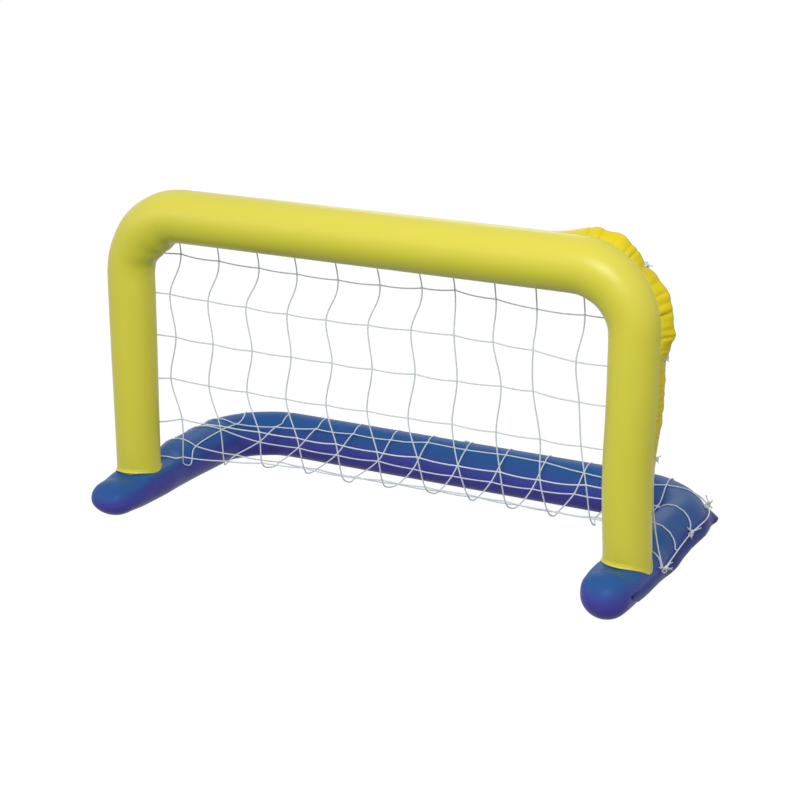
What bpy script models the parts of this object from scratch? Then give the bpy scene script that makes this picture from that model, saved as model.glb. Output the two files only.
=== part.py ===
"""Inflatable goal: a yellow inflated goal frame standing on a blue inflated U-shaped base, with a tied net.

Metres, +Z up. X runs along the crossbar, -Y is the side that is shot at, +Y is behind the goal.
The origin lies on the floor, under the middle of the whole object.
Each air chamber is two thin sheets welded along a seam that runs round its U.
"""

import math

import bmesh
import bpy
from mathutils import Matrix, Vector

# The goal frame: two posts and a crossbar in one inverted U, which stands on the base
POST_OUTSET = 0.003
CROSSBAR_HEIGHT = 0.715
FRAME_BEND = 0.125
POST_SLIMNESS = 0.0015
FOOT_INSET = 0.0045
CROSSBAR_FULLNESS = 0.005

# The base: a U that lies on the floor, open to the front, with round noses
BASE_SPACING = 1.250
BASE_RADIUS = 0.0565
BASE_SQUASH = 0.003
FLAT_REACH = 0.004
BASE_BEND = 0.120
POST_TO_REAR = 0.483
POST_TO_NOSE = 0.098

# The sheets and their seams
SHEET = 0.0003
GAP = 0.0003
LAP = 0.005
HALF_ROUND_STEPS = 8
NOSE_SEAM_TILT = 4.0
BASE_SEAM_TILT = 22.0

# The flaps that the net is tied to
FRAME_FLAP = 0.034
FLAP_DOWN = (84.0, 98.0)
FLAP_UP = (45.0, 62.0)
BASE_FLAP = 0.038
BASE_FLAP_LEAN = (-5.0, -95.0)
FLAP_STEPS = 3
FRAME_FLAP_END = 0.100
FRAME_FLAP_FADE = 0.260
UPPER_POST_TIE = 0.530
LOWER_POST_TIE = 0.310

# The net and its ties
STRAND = 0.0030
CORD = 0.0020
COLUMNS = 13
ROWS = 10
TIE_COLUMNS = 2
NET_OVERHANG = 0.0549
FOLD_ROW = 6
FOLD_HEIGHT = 0.125
FOLD_DEPTH = 0.095
PANEL_DEPTH = 0.076
FIRST_ROW_DROP = 0.118
BOTTOM_CELL = 0.071
LOOP_DROOP = 0.020
SHELF_LEAN = 0.036
SEVENTH_ROW_DEPTH = 0.190
SEVENTH_ROW_HEIGHT = 0.105
EIGHTH_ROW_DEPTH = 0.315
EIGHTH_ROW_HEIGHT = 0.110
NINTH_ROW_INSET = 0.033
NINTH_ROW_LIFT = 0.060
FRONT_SIDE_TIE = 0.058
REAR_SIDE_TIE = 0.250
TIE_RING = 0.007
STITCH_RING = 0.006
TIE_HOLE = 0.0020
DRILL_REACH = 0.003
HOLE_FROM_EDGE = 0.007
TAIL = 0.010

# The foot collars
COLLAR_HEIGHT = 0.008
COLLAR_FLARE = 0.006
COLLAR_THICKNESS = 0.0006

# The air valves
VALVE_SEAT_RADIUS = 0.0100
VALVE_SEAT_THICKNESS = 0.0012
STEM_RADIUS = 0.0060
STEM_BORE = 0.0032
STEM_DEPTH = 0.0125
RIM_RADIUS = 0.0074
RIM_THICKNESS = 0.0012
PLUG_RADIUS = 0.0062
PLUG_THICKNESS = 0.0012
SPIGOT_LENGTH = 0.0030
SPIGOT_TIP = 0.0019
HINGE_REACH = 0.0093
STRAP_WIDTH = 0.0032
STRAP_THICKNESS = 0.0008
CHECK_RADIUS = 0.0045
CHECK_THICKNESS = 0.0006
CHECK_HINGE_REACH = 0.0049
FRAME_VALVE_HEIGHT = 0.350
BASE_VALVE_ACROSS = -0.010
VALVE_SIDES = 16

# Places worked out from the sizes above
BASE_X = BASE_SPACING / 2
POST_X = BASE_X + POST_OUTSET
POST_RADIUS = BASE_RADIUS - POST_SLIMNESS
FOOT_RADIUS = BASE_RADIUS - FOOT_INSET
CROSSBAR_RADIUS = POST_RADIUS + CROSSBAR_FULLNESS
BASE_AXIS_Z = BASE_RADIUS - BASE_SQUASH
STRAND_CORNER = STRAND * math.sqrt(math.pi / 8)
STRAND_CLEAR = STRAND / 2 + 0.003
KNOT_SHIFT = (STRAND + CORD) / 2 + 0.001
RING_FROM_SEAM = STITCH_RING + 0.003
COLUMN_PITCH = (BASE_SPACING + 2 * NET_OVERHANG) / COLUMNS
CROSSBAR_TIE = TIE_COLUMNS * COLUMN_PITCH
SHOULDER_TIE = 2 * TIE_COLUMNS * COLUMN_PITCH
ROUND_STEP = 180.0 / HALF_ROUND_STEPS
FRONT_REACH = POST_TO_NOSE + BASE_RADIUS


def polar(radius, degrees):
    """A point at a radius and an angle, as two coordinates."""
    turn = math.radians(degrees)
    return Vector((radius * math.cos(turn), radius * math.sin(turn)))


def blend(start, end, share):
    """The value a share of the way from start to end."""
    return start + (end - start) * share


def smooth_step(value, low, high):
    """0 below low, 1 above high, and a smooth rise between."""
    share = min(max((value - low) / (high - low), 0.0), 1.0)
    return share * share * (3.0 - 2.0 * share)


def flap_curve(root, width, first_angle, last_angle):
    """A flap's section: equal steps from its root, which turn from one angle to another."""
    points = []
    here = Vector(root)
    for step in range(FLAP_STEPS):
        angle = blend(first_angle, last_angle, step / (FLAP_STEPS - 1))
        here = here + polar(width / FLAP_STEPS, angle)
        points.append(here.copy())
    return points


def rear_flap_reach():
    """How far the rear flap stands behind the rear tube's axis."""
    root = polar(BASE_RADIUS, BASE_SEAM_TILT)
    return max(point.x for point in flap_curve(root, BASE_FLAP, *BASE_FLAP_LEAN))


REAR_REACH = POST_TO_REAR + rear_flap_reach()
POST_Y = (FRONT_REACH - REAR_REACH) / 2
REAR_Y = POST_Y + POST_TO_REAR
NOSE_Y = POST_Y - POST_TO_NOSE


class Place:
    """One place along half of a U: centre and outward normal in the U's plane, and the distance run."""

    def __init__(self, across, along, turn, run):
        self.across = across
        self.along = along
        self.turn = turn
        self.run = run

    def normal(self):
        return polar(1.0, self.turn)


class HalfU:
    """The +X half of a U-shaped tube axis, run from the middle of its bar, round the bend and down the leg."""

    def __init__(self, half_width, bar, leg_end, bend):
        self.half_width = half_width
        self.bar = bar
        self.leg_end = leg_end
        self.bend = bend
        self.bar_run = half_width - bend
        self.bend_run = bend * math.pi / 2
        self.total = self.bar_run + self.bend_run + abs(bar - bend - leg_end)

    def place(self, run):
        if run <= self.bar_run:
            return Place(run, self.bar, 90.0, run)
        centre = Vector((self.bar_run, self.bar - self.bend))
        if run <= self.bar_run + self.bend_run:
            turn = 90.0 - math.degrees((run - self.bar_run) / self.bend)
            at = centre + polar(self.bend, turn)
            return Place(at.x, at.y, turn, run)
        beyond = run - self.bar_run - self.bend_run
        return Place(self.half_width, centre.y - beyond, 0.0, run)

    def run_at_leg(self, along):
        """The run at which the leg has come to a place along it."""
        return self.bar_run + self.bend_run + (self.bar - self.bend - along)

    def nearest(self, across, along):
        """The place on the whole U that is nearest to a point, with the point's side."""
        side = -1.0 if across < 0.0 else 1.0
        out = abs(across)
        corner = Vector((self.bar_run, self.bar - self.bend))
        if out > corner.x and along > corner.y:
            turn = math.degrees(math.atan2(along - corner.y, out - corner.x))
            return side, self.place(self.bar_run + math.radians(90.0 - turn) * self.bend)
        if out > corner.x or self.half_width - out < self.bar - along:
            return side, self.place(self.run_at_leg(max(along, self.leg_end)))
        return side, self.place(out)


FRAME = HalfU(POST_X, CROSSBAR_HEIGHT, BASE_AXIS_Z, FRAME_BEND)
BASE = HalfU(BASE_X, REAR_Y, NOSE_Y, BASE_BEND)
CORNER_RUN = FRAME.bar_run + FRAME.bend_run / 2
FRAME_TIE_RUNS = [
    CROSSBAR_TIE,
    SHOULDER_TIE,
    CORNER_RUN,
    FRAME.run_at_leg(UPPER_POST_TIE),
    FRAME.run_at_leg(LOWER_POST_TIE),
]
FLAP_END_RUN = FRAME.run_at_leg(FRAME_FLAP_END)


def frame_point(place, out, back, side=1.0):
    """A world point of the frame, from its outward and rearward distances at a place."""
    at = Vector((place.across, place.along)) + place.normal() * out
    return Vector((side * at.x, POST_Y + back, at.y))


def base_point(place, out, up, side=1.0):
    """A world point of the base, from its outward and upward distances at a place."""
    at = Vector((place.across, place.along)) + place.normal() * out
    return Vector((side * at.x, at.y, BASE_AXIS_Z + up))


def frame_radius(run):
    """The frame's tube is fullest along the crossbar and a little drawn in at its feet."""
    bend_start = FRAME.bar_run
    bend_end = FRAME.bar_run + FRAME.bend_run
    if run <= bend_end:
        return blend(CROSSBAR_RADIUS, POST_RADIUS, smooth_step(run, bend_start, bend_end))
    return blend(POST_RADIUS, FOOT_RADIUS, smooth_step(run, FRAME.run_at_leg(UPPER_POST_TIE), FRAME.total))


def flap_lift(run):
    """How far the frame's flap stands off the tube: not at the ties, and in scallops between them."""
    knots = [0.0] + FRAME_TIE_RUNS + [FLAP_END_RUN]
    heights = [0.0, 0.15, 0.75, 1.0, 0.25, 0.1]
    for start, end, height in zip(knots, knots[1:], heights):
        if run < end:
            return height * math.sin(math.pi * (run - start) / (end - start))
    return 0.0


def frame_flap_width(run):
    """The flap keeps its width down the posts and runs out above the feet."""
    fade = smooth_step(run, FRAME.run_at_leg(FRAME_FLAP_FADE), FLAP_END_RUN)
    return FRAME_FLAP * (1.0 - fade)


def frame_flap_points(run):
    """The frame flap's section at a run, in outward and rearward distances."""
    lift = flap_lift(run)
    root = Vector((frame_radius(run), 0.0))
    first_angle = blend(FLAP_DOWN[0], FLAP_UP[0], lift)
    last_angle = blend(FLAP_DOWN[1], FLAP_UP[1], lift)
    return flap_curve(root, frame_flap_width(run), first_angle, last_angle)


def seam_tilt(run):
    """The base's outer seam lies level at the noses and is drawn up behind the posts."""
    behind = BASE.place(run).along - POST_Y
    share = min(max((behind - FRONT_SIDE_TIE) / (REAR_SIDE_TIE - FRONT_SIDE_TIE), 0.0), 1.0)
    return blend(NOSE_SEAM_TILT, BASE_SEAM_TILT, share)


def base_flap_width(run):
    """The base's flap starts beside the nose and has its full width behind the post."""
    behind = BASE.place(run).along - POST_Y
    return BASE_FLAP * smooth_step(behind, -POST_TO_NOSE, FRONT_SIDE_TIE)


def base_flap_points(run):
    """The base flap's section at a run, in outward and upward distances from the tube's axis."""
    return flap_curve(polar(BASE_RADIUS, seam_tilt(run)), base_flap_width(run), *BASE_FLAP_LEAN)


def half_round(radius, start_angle, turn_sign):
    """Half of a round section, from one seam to the other."""
    return [polar(radius, start_angle + turn_sign * ROUND_STEP * step) for step in range(HALF_ROUND_STEPS + 1)]


def lapped(radius, start_angle, turn_sign):
    """Half of a round section that runs on a little past both seams, inside the other sheet."""
    points = half_round(radius, start_angle, turn_sign)
    facet = 2.0 * radius * math.sin(math.radians(ROUND_STEP / 2))
    share = min(LAP / facet, 0.9) if facet > 1e-6 else 0.0
    before = blend(points[0], polar(radius, start_angle - turn_sign * ROUND_STEP), share)
    after = blend(points[-1], polar(radius, start_angle + turn_sign * (180.0 + ROUND_STEP)), share)
    return [before] + points + [after]


def make_material(name, colour, roughness, metallic=0.0):
    """A Principled material with one colour."""
    material = bpy.data.materials.new(name)
    material.use_nodes = True
    shader = material.node_tree.nodes["Principled BSDF"]
    shader.inputs["Base Color"].default_value = (*colour, 1.0)
    shader.inputs["Roughness"].default_value = roughness
    shader.inputs["Metallic"].default_value = metallic
    return material


def add_object(name, mesh, material, collection, parent=None):
    """A new object of a mesh, in a collection, with its material."""
    thing = bpy.data.objects.new(name, mesh)
    collection.objects.link(thing)
    if material and not mesh.materials:
        mesh.materials.append(material)
    thing.parent = parent
    return thing


def loft(name, rings):
    """An open surface through rings of equally many points, with coincident points joined."""
    shape = bmesh.new()
    grid = [[shape.verts.new(point) for point in ring] for ring in rings]
    for ring, following in zip(grid, grid[1:]):
        for spot in range(len(ring) - 1):
            shape.faces.new((ring[spot], following[spot], following[spot + 1], ring[spot + 1]))
    bmesh.ops.remove_doubles(shape, verts=shape.verts, dist=1e-6)
    mesh = bpy.data.meshes.new(name)
    shape.to_mesh(mesh)
    shape.free()
    return mesh


def closed_band(name, rows):
    """An open band of closed rows, one round the next."""
    shape = bmesh.new()
    grid = [[shape.verts.new(point) for point in row] for row in rows]
    count = len(grid[0])
    for row, following in zip(grid, grid[1:]):
        for spot in range(count):
            onward = (spot + 1) % count
            shape.faces.new((row[spot], row[onward], following[onward], following[spot]))
    mesh = bpy.data.meshes.new(name)
    shape.to_mesh(mesh)
    shape.free()
    return mesh


def thicken(thing, thickness, offset=-1.0):
    """A Solidify modifier; with offset -1 the wall grows inward from the modelled face."""
    wall = thing.modifiers.new("wall", "SOLIDIFY")
    wall.thickness = thickness
    wall.offset = offset
    wall.use_even_offset = True


def mirror_across(thing):
    """The other half of a piece that is open at the X = 0 plane."""
    other_half = thing.modifiers.new("other half", "MIRROR")
    other_half.merge_threshold = 0.0001


def cut_with(thing, cutter):
    """Cut a hole or an end with another object."""
    cut = thing.modifiers.new("cut " + cutter.name, "BOOLEAN")
    cut.operation = "DIFFERENCE"
    cut.object = cutter


def smooth_shading(thing):
    """Shade a round piece smooth, but keep its sharp edges."""
    thing.data.shade_smooth()
    thing.data.set_sharp_from_angle(angle=math.radians(40.0))


def cap_and_hide(cutter):
    """Close an open band into a solid cutter and hide it."""
    shape = bmesh.new()
    shape.from_mesh(cutter.data)
    bmesh.ops.holes_fill(shape, edges=shape.edges, sides=0)
    bmesh.ops.recalc_face_normals(shape, faces=shape.faces)
    shape.to_mesh(cutter.data)
    shape.free()
    cutter.hide_render = True
    cutter.display_type = "WIRE"


def make_cylinder(name, start, end, radius, sides, collection):
    """A cutter cylinder between two points."""
    axis = end - start
    shape = bmesh.new()
    turn = axis.to_track_quat("Z", "Y").to_matrix().to_4x4()
    place = Matrix.Translation((start + end) / 2) @ turn
    bmesh.ops.create_cone(
        shape,
        cap_ends=True,
        segments=sides,
        radius1=radius,
        radius2=radius,
        depth=axis.length,
        matrix=place,
    )
    mesh = bpy.data.meshes.new(name)
    shape.to_mesh(mesh)
    shape.free()
    cutter = add_object(name, mesh, None, collection)
    cutter.hide_render = True
    cutter.display_type = "WIRE"
    return cutter


def frame_runs():
    """Places of the frame's rings: close together where the flap is scalloped and where the tube bends."""
    runs = [0.0]
    knots = [0.0] + FRAME_TIE_RUNS + [FLAP_END_RUN]
    steps = [2, 3, 5, 5, 4, 4]
    for start, end, count in zip(knots, knots[1:], steps):
        runs += [blend(start, end, (step + 1) / count) for step in range(count)]
    return runs + [FRAME.total]


def rear_sheet_runs():
    """The rear sheet has no flap, so it needs rings only where the radius changes or the tube bends."""
    knots = frame_runs()
    bend_start = FRAME.bar_run
    bend_end = bend_start + FRAME.bend_run
    valve_run = FRAME.run_at_leg(FRAME_VALVE_HEIGHT)
    margin = 2 * CROSSBAR_RADIUS
    near_bend = [run for run in knots if bend_start - margin < run < bend_end + margin]
    return [0.0] + near_bend + [valve_run, FLAP_END_RUN, FRAME.total]


def base_runs():
    """Places of the base's rings, from the middle of the rear tube to the centre of the nose."""
    runs = [0.0, BASE.bar_run / 2]
    runs += [BASE.bar_run + BASE.bend_run * step / 6 for step in range(7)]
    tilting = [FRONT_SIDE_TIE + (REAR_SIDE_TIE - FRONT_SIDE_TIE) * step / 5 for step in range(5, -1, -1)]
    runs += [BASE.run_at_leg(POST_Y + behind) for behind in tilting]
    return runs + [BASE.run_at_leg(POST_Y), blend(BASE.run_at_leg(POST_Y), BASE.total, 0.5), BASE.total]


def base_rings(section):
    """Rings of one base sheet: along the U, and then closing over the round nose."""
    rings = []
    for run in base_runs():
        place = BASE.place(run)
        rings.append([base_point(place, at.x, at.y) for at in section(run, 1.0)])
    nose = BASE.place(BASE.total)
    for step in range(1, 4):
        closing = math.radians(30.0 * step)
        ring = section(BASE.total, math.cos(closing))
        reach = section.nose_radius * math.sin(closing)
        rings.append([base_point(nose, at.x, at.y) - Vector((0.0, reach, 0.0)) for at in ring])
    return rings


def upper_section(run, share):
    """The base's upper sheet: over the tube from seam to seam, and out along the flap."""
    arch = half_round(BASE_RADIUS * share, seam_tilt(run), 1.0)
    return arch[::-1] + [at * share for at in base_flap_points(run)]


def lower_section(run, share):
    """The base's lower sheet: under the tube, flat where it rests, and lapped inside the upper sheet."""
    points = lapped(lower_section.nose_radius * share, seam_tilt(run), -1.0)
    floor = -BASE_AXIS_Z
    return [Vector((at.x, floor if at.y < floor + FLAT_REACH else at.y)) for at in points]


upper_section.nose_radius = BASE_RADIUS
lower_section.nose_radius = BASE_RADIUS - SHEET - GAP


def build_frame_sheets(material, parts):
    """The front sheet with its flap, and the rear sheet that is lapped inside it."""
    front_rings = []
    for run in frame_runs():
        arch = half_round(frame_radius(run), 180.0, 1.0)
        section = arch + frame_flap_points(run)
        front_rings.append([frame_point(FRAME.place(run), at.x, at.y) for at in section])
    front = add_object("frame_front_sheet", loft("frame_front_sheet", front_rings), material, parts)
    rear_rings = []
    for run in rear_sheet_runs():
        section = lapped(frame_radius(run) - SHEET - GAP, 0.0, 1.0)
        rear_rings.append([frame_point(FRAME.place(run), at.x, at.y) for at in section])
    rear = add_object("frame_rear_sheet", loft("frame_rear_sheet", rear_rings), material, parts)
    for sheet in (front, rear):
        mirror_across(sheet)
        thicken(sheet, SHEET)
        smooth_shading(sheet)
    return front, rear


def cut_feet(sheets, cutters):
    """Shape both feet to the base: a bar with the base tube's own section, one gap larger, cuts them."""
    reach = POST_RADIUS * 1.8
    radius = BASE_RADIUS + GAP / math.cos(math.radians(ROUND_STEP / 2))
    for side, word in ((1.0, "right"), (-1.0, "left")):
        rows = []
        for along in (POST_Y - reach, POST_Y + reach):
            ring = [polar(radius, NOSE_SEAM_TILT + ROUND_STEP * step) for step in range(2 * HALF_ROUND_STEPS)]
            rows.append([Vector((side * (BASE_X + at.x), along, BASE_AXIS_Z + at.y)) for at in ring])
        bar = add_object("foot_cutter_" + word, closed_band("foot_cutter_" + word, rows), None, cutters)
        cap_and_hide(bar)
        for sheet in sheets:
            cut_with(sheet, bar)


def weld_point(angle, out):
    """A point round a foot, on the base's surface and so far out from the foot's wall."""
    radius = BASE_RADIUS + GAP + COLLAR_THICKNESS
    edge = FOOT_RADIUS + GAP + COLLAR_THICKNESS
    wall = polar(edge, angle)
    spread = radius * math.asin((POST_X - BASE_X + wall.x) / radius) + out * math.cos(math.radians(angle))
    turn = spread / radius
    along = POST_Y + wall.y + out * math.sin(math.radians(angle))
    return Vector((BASE_X + radius * math.sin(turn), along, BASE_AXIS_Z + radius * math.cos(turn)))


def build_collars(material, parts):
    """The welded skirt round each foot, which spreads from the post's wall on to the base."""
    angles = [ROUND_STEP / 2 * step for step in range(4 * HALF_ROUND_STEPS)]
    for side, word in ((1.0, "right"), (-1.0, "left")):
        upper = []
        for angle in angles:
            at = weld_point(angle, 0.0)
            upper.append(Vector((side * at.x, at.y, at.z + COLLAR_HEIGHT)))
        lower = []
        for angle in angles:
            at = weld_point(angle, COLLAR_FLARE)
            lower.append(Vector((side * at.x, at.y, at.z)))
        name = "foot_collar_" + word
        collar = add_object(name, closed_band(name, [lower, upper]), material, parts)
        thicken(collar, COLLAR_THICKNESS, 0.0)
        smooth_shading(collar)


def build_base_sheets(material, parts):
    """The upper sheet with its flap, and the lower sheet that rests on the floor."""
    upper = add_object("base_upper_sheet", loft("base_upper_sheet", base_rings(upper_section)), material, parts)
    lower = add_object("base_lower_sheet", loft("base_lower_sheet", base_rings(lower_section)), material, parts)
    for sheet in (upper, lower):
        mirror_across(sheet)
        thicken(sheet, SHEET)
        smooth_shading(sheet)
    return upper, lower


def unit(vector):
    """The same direction, one long."""
    return vector.normalized()


def clear_of_tubes(point):
    """The point itself, or where it lies just off the surface of the tube that it would touch."""
    for shape, radius_at in ((FRAME, frame_radius), (BASE, lambda run: BASE_RADIUS)):
        if shape is FRAME:
            side, place = shape.nearest(point.x, point.z)
            centre = frame_point(place, 0.0, 0.0, side)
        else:
            side, place = shape.nearest(point.x, point.y)
            centre = base_point(place, 0.0, 0.0, side)
        off = point - centre
        room = radius_at(place.run) + STRAND_CLEAR
        if 1e-6 < off.length < room:
            point = centre + unit(off) * room
    return point


def frame_tie_frame():
    """Where a tie holds the frame's flap down: the hole, the way out along the flap and the ring's centre."""
    points = flap_curve(Vector((POST_RADIUS, 0.0)), FRAME_FLAP, *FLAP_DOWN)
    out = unit(points[-1] - points[-2])
    hole = points[-1] - out * HOLE_FROM_EDGE
    centre = hole + out * (TIE_HOLE - CORD / 2 - GAP + TIE_RING)
    return hole, out, centre


def frame_strand(run):
    """Where the net's border strand is held beside the frame's flap, outward and rearward."""
    hole, out, centre = frame_tie_frame()
    shrink = Vector((frame_radius(run) - POST_RADIUS, 0.0))
    return shrink + centre + out * (TIE_RING - CORD / 2 - GAP - STRAND_CORNER)


def base_tie_frame(run):
    """At a run of the base's flap: the way out along its first part, the way up and the ring's centre."""
    root = polar(BASE_RADIUS, seam_tilt(run))
    out = polar(1.0, BASE_FLAP_LEAN[0])
    up = Vector((-out.y, out.x))
    return root, out, up, root + out * RING_FROM_SEAM


def base_strand(run):
    """Where the net's border strand is held above the base's flap, outward and upward."""
    root, out, up, centre = base_tie_frame(run)
    return centre + up * (STITCH_RING - CORD / 2 - GAP - STRAND_CORNER)


def frame_node(run, side, shift=0.0):
    """A border point beside the frame's flap, moved a little along the strand if asked."""
    at = frame_strand(run)
    return frame_point(FRAME.place(run + shift), at.x, at.y, side)


def base_node(run, side, shift=0.0):
    """A border point above the base's flap, moved a little along the strand if asked."""
    at = base_strand(run)
    return base_point(BASE.place(run + shift), at.x, at.y, side)


def side_border():
    """Where the net's side border meets each row: the tube it follows and the run along it."""
    upper = FRAME.run_at_leg(UPPER_POST_TIE)
    lower = FRAME.run_at_leg(LOWER_POST_TIE)
    front = BASE.run_at_leg(POST_Y + FRONT_SIDE_TIE)
    rear = BASE.run_at_leg(POST_Y + REAR_SIDE_TIE)
    corner = BASE.bar_run + BASE.bend_run / 2
    frame_runs_of_rows = [
        CORNER_RUN + KNOT_SHIFT,
        blend(CORNER_RUN, upper, 0.5),
        upper + 2 * KNOT_SHIFT,
        blend(upper, lower, 0.5),
        lower + 2 * KNOT_SHIFT,
    ]
    base_runs_of_rows = [
        front + 2 * KNOT_SHIFT,
        blend(front, rear, 0.52),
        rear - 2 * KNOT_SHIFT,
        blend(rear, corner, 0.50),
        corner - KNOT_SHIFT,
    ]
    return frame_runs_of_rows, base_runs_of_rows


def border_points(row, side, pieces):
    """The side border from one row to the next, along its tube or free between the two tubes."""
    frame_part, base_part = side_border()
    first_base_row = ROWS + 1 - len(base_part)
    if row + 1 < len(frame_part):
        first, last = frame_part[row], frame_part[row + 1]
        return [frame_node(blend(first, last, step / pieces), side) for step in range(pieces + 1)]
    if row >= first_base_row:
        first, last = base_part[row - first_base_row], base_part[row + 1 - first_base_row]
        return [base_node(blend(first, last, step / pieces), side) for step in range(pieces + 1)]
    top = frame_node(frame_part[-1], side)
    bottom = base_node(base_part[0], side)
    half = (row - (len(frame_part) - 1)) / 2
    free = [blend(top, bottom, half + 0.5 * step / pieces) for step in range(pieces + 1)]
    return free[:1] + [clear_of_tubes(point) for point in free[1:-1]] + free[-1:]


def edge_run(shape, at, across):
    """The run along a U's bar or bend at which a strand beside it has come so far across."""
    if across <= shape.bar_run:
        return across
    turn = math.acos((across - shape.bar_run) / (shape.bend + at.x))
    return shape.bar_run + (math.pi / 2 - turn) * shape.bend


def end_row_points(row, column, pieces):
    """The net's top or rear border from one column to the next, beside the flap it is tied to."""
    if row == 0:
        shape, node_at, at, corner = FRAME, frame_node, frame_strand(0.0), side_border()[0][0]
    else:
        shape, node_at, at, corner = BASE, base_node, base_strand(0.0), side_border()[1][-1]
    runs = []
    for place in (column, column + 1):
        across = (place - COLUMNS / 2) * COLUMN_PITCH
        run = corner if place in (0, COLUMNS) else edge_run(shape, at, abs(across))
        runs.append(math.copysign(run, across))
    points = []
    for step in range(pieces + 1):
        run = blend(runs[0], runs[1], step / pieces)
        points.append(node_at(abs(run), math.copysign(1.0, run)))
    return points


def panel_heights():
    """Heights of the net's rows 1 to 6 in its upright part."""
    top = CROSSBAR_HEIGHT - FIRST_ROW_DROP
    bottom = FOLD_HEIGHT + BOTTOM_CELL
    return [blend(top, bottom, step / 4) for step in range(5)] + [FOLD_HEIGHT]


def shelf_point(across, row):
    """A point of the net's low part behind the fold, on rows 7 to 9."""
    depths = {7: SEVENTH_ROW_DEPTH, 8: EIGHTH_ROW_DEPTH, 9: POST_TO_REAR - NINTH_ROW_INSET}
    heights = {7: SEVENTH_ROW_HEIGHT, 8: EIGHTH_ROW_HEIGHT, 9: BASE_AXIS_Z + NINTH_ROW_LIFT}
    lean = SHELF_LEAN * (row - FOLD_ROW) / (ROWS - FOLD_ROW)
    return Vector((across - lean, POST_Y + depths[row], heights[row]))


def net_nodes():
    """All crossing points of the net: 11 rows of 14 points."""
    rows = []
    for row in range(ROWS + 1):
        if row in (0, ROWS):
            line = [end_row_points(row, column, 1)[0] for column in range(COLUMNS)]
            rows.append(line + [end_row_points(row, COLUMNS - 1, 1)[1]])
            continue
        line = [border_points(row, -1.0, 1)[0]]
        for column in range(1, COLUMNS):
            across = (column - COLUMNS / 2) * COLUMN_PITCH
            if row < FOLD_ROW:
                point = Vector((across, POST_Y + PANEL_DEPTH, panel_heights()[row - 1]))
            elif row == FOLD_ROW:
                point = Vector((across, POST_Y + FOLD_DEPTH, FOLD_HEIGHT))
            else:
                point = shelf_point(across, row)
            line.append(clear_of_tubes(point))
        rows.append(line + [border_points(row, 1.0, 1)[0]])
    return rows


def strand_points(start, end, pieces, droop=0.0):
    """Points from one crossing to the next, which hang a little and lie over the tubes."""
    points = [start]
    for step in range(1, pieces):
        share = step / pieces
        point = blend(start, end, share) - Vector((0.0, 0.0, droop * 4.0 * share * (1.0 - share)))
        points.append(clear_of_tubes(point))
    return points + [end]


class Lattice:
    """A fused lattice of square strands: a small block at each point and four faces along each strand."""

    def __init__(self):
        self.shape = bmesh.new()
        self.half = STRAND_CORNER / math.sqrt(2.0)

    def block(self, point, along, across):
        """Eight corners of a block whose sides face along and across its strands."""
        face = unit(along.cross(across))
        along = unit(along)
        across = unit(face.cross(along))
        corners = {}
        for a in (-1, 1):
            for b in (-1, 1):
                for c in (-1, 1):
                    at = point + (along * a + across * b + face * c) * self.half
                    corners[a, b, c] = self.shape.verts.new(at)
        return corners

    def side(self, corners, way):
        """The four corners of one side of a block, in order round it."""
        axis, sign = way
        ring = []
        for one, two in ((-1, -1), (1, -1), (1, 1), (-1, 1)):
            key = (sign, one, two) if axis == 0 else (one, sign, two)
            ring.append(corners[key])
        return ring

    def close(self, corners, used):
        """Faces of a block where no strand leaves it."""
        for axis in (0, 1):
            for sign in (-1, 1):
                if (axis, sign) not in used:
                    self.shape.faces.new(self.side(corners, (axis, sign)))
        for sign in (-1, 1):
            ring = [corners[one, two, sign] for one, two in ((-1, -1), (1, -1), (1, 1), (-1, 1))]
            self.shape.faces.new(ring)

    def strand(self, first, last, middle):
        """Faces from one block's side to another's, through middle points."""
        rings = [first]
        size = self.half
        for before, point, after in zip(middle, middle[1:], middle[2:]):
            along = unit(after - before)
            start = [corner.co for corner in rings[-1]]
            across = start[1] - start[0]
            across = unit(across - along * across.dot(along))
            face = start[3] - start[0]
            face = face - along * face.dot(along)
            face = unit(face - across * face.dot(across))
            ring = []
            for one, two in ((-1, -1), (1, -1), (1, 1), (-1, 1)):
                ring.append(self.shape.verts.new(point + (across * one + face * two) * size))
            rings.append(ring)
        rings.append(last)
        for ring, following in zip(rings, rings[1:]):
            for spot in range(4):
                onward = (spot + 1) % 4
                self.shape.faces.new((ring[spot], ring[onward], following[onward], following[spot]))


def row_pieces(row, column):
    """How many pieces a row's strand has between two columns."""
    if row in (0, ROWS):
        return {0: 5, 1: 3, COLUMNS - 2: 3, COLUMNS - 1: 5}.get(column, 1)
    if column in (0, COLUMNS - 1):
        return 6 if row >= FOLD_ROW else 4
    return 1


def column_pieces(row, column):
    """How many pieces a column's strand has between two rows, and how far it droops."""
    if column in (0, COLUMNS):
        return {0: 4, 1: 2, FOLD_ROW - 1: 3, ROWS - 1: 5}.get(row, 1), 0.0
    if row == FOLD_ROW:
        return 2, LOOP_DROOP
    return {0: 5, ROWS - 1: 4}.get(row, 1), 0.0


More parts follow.
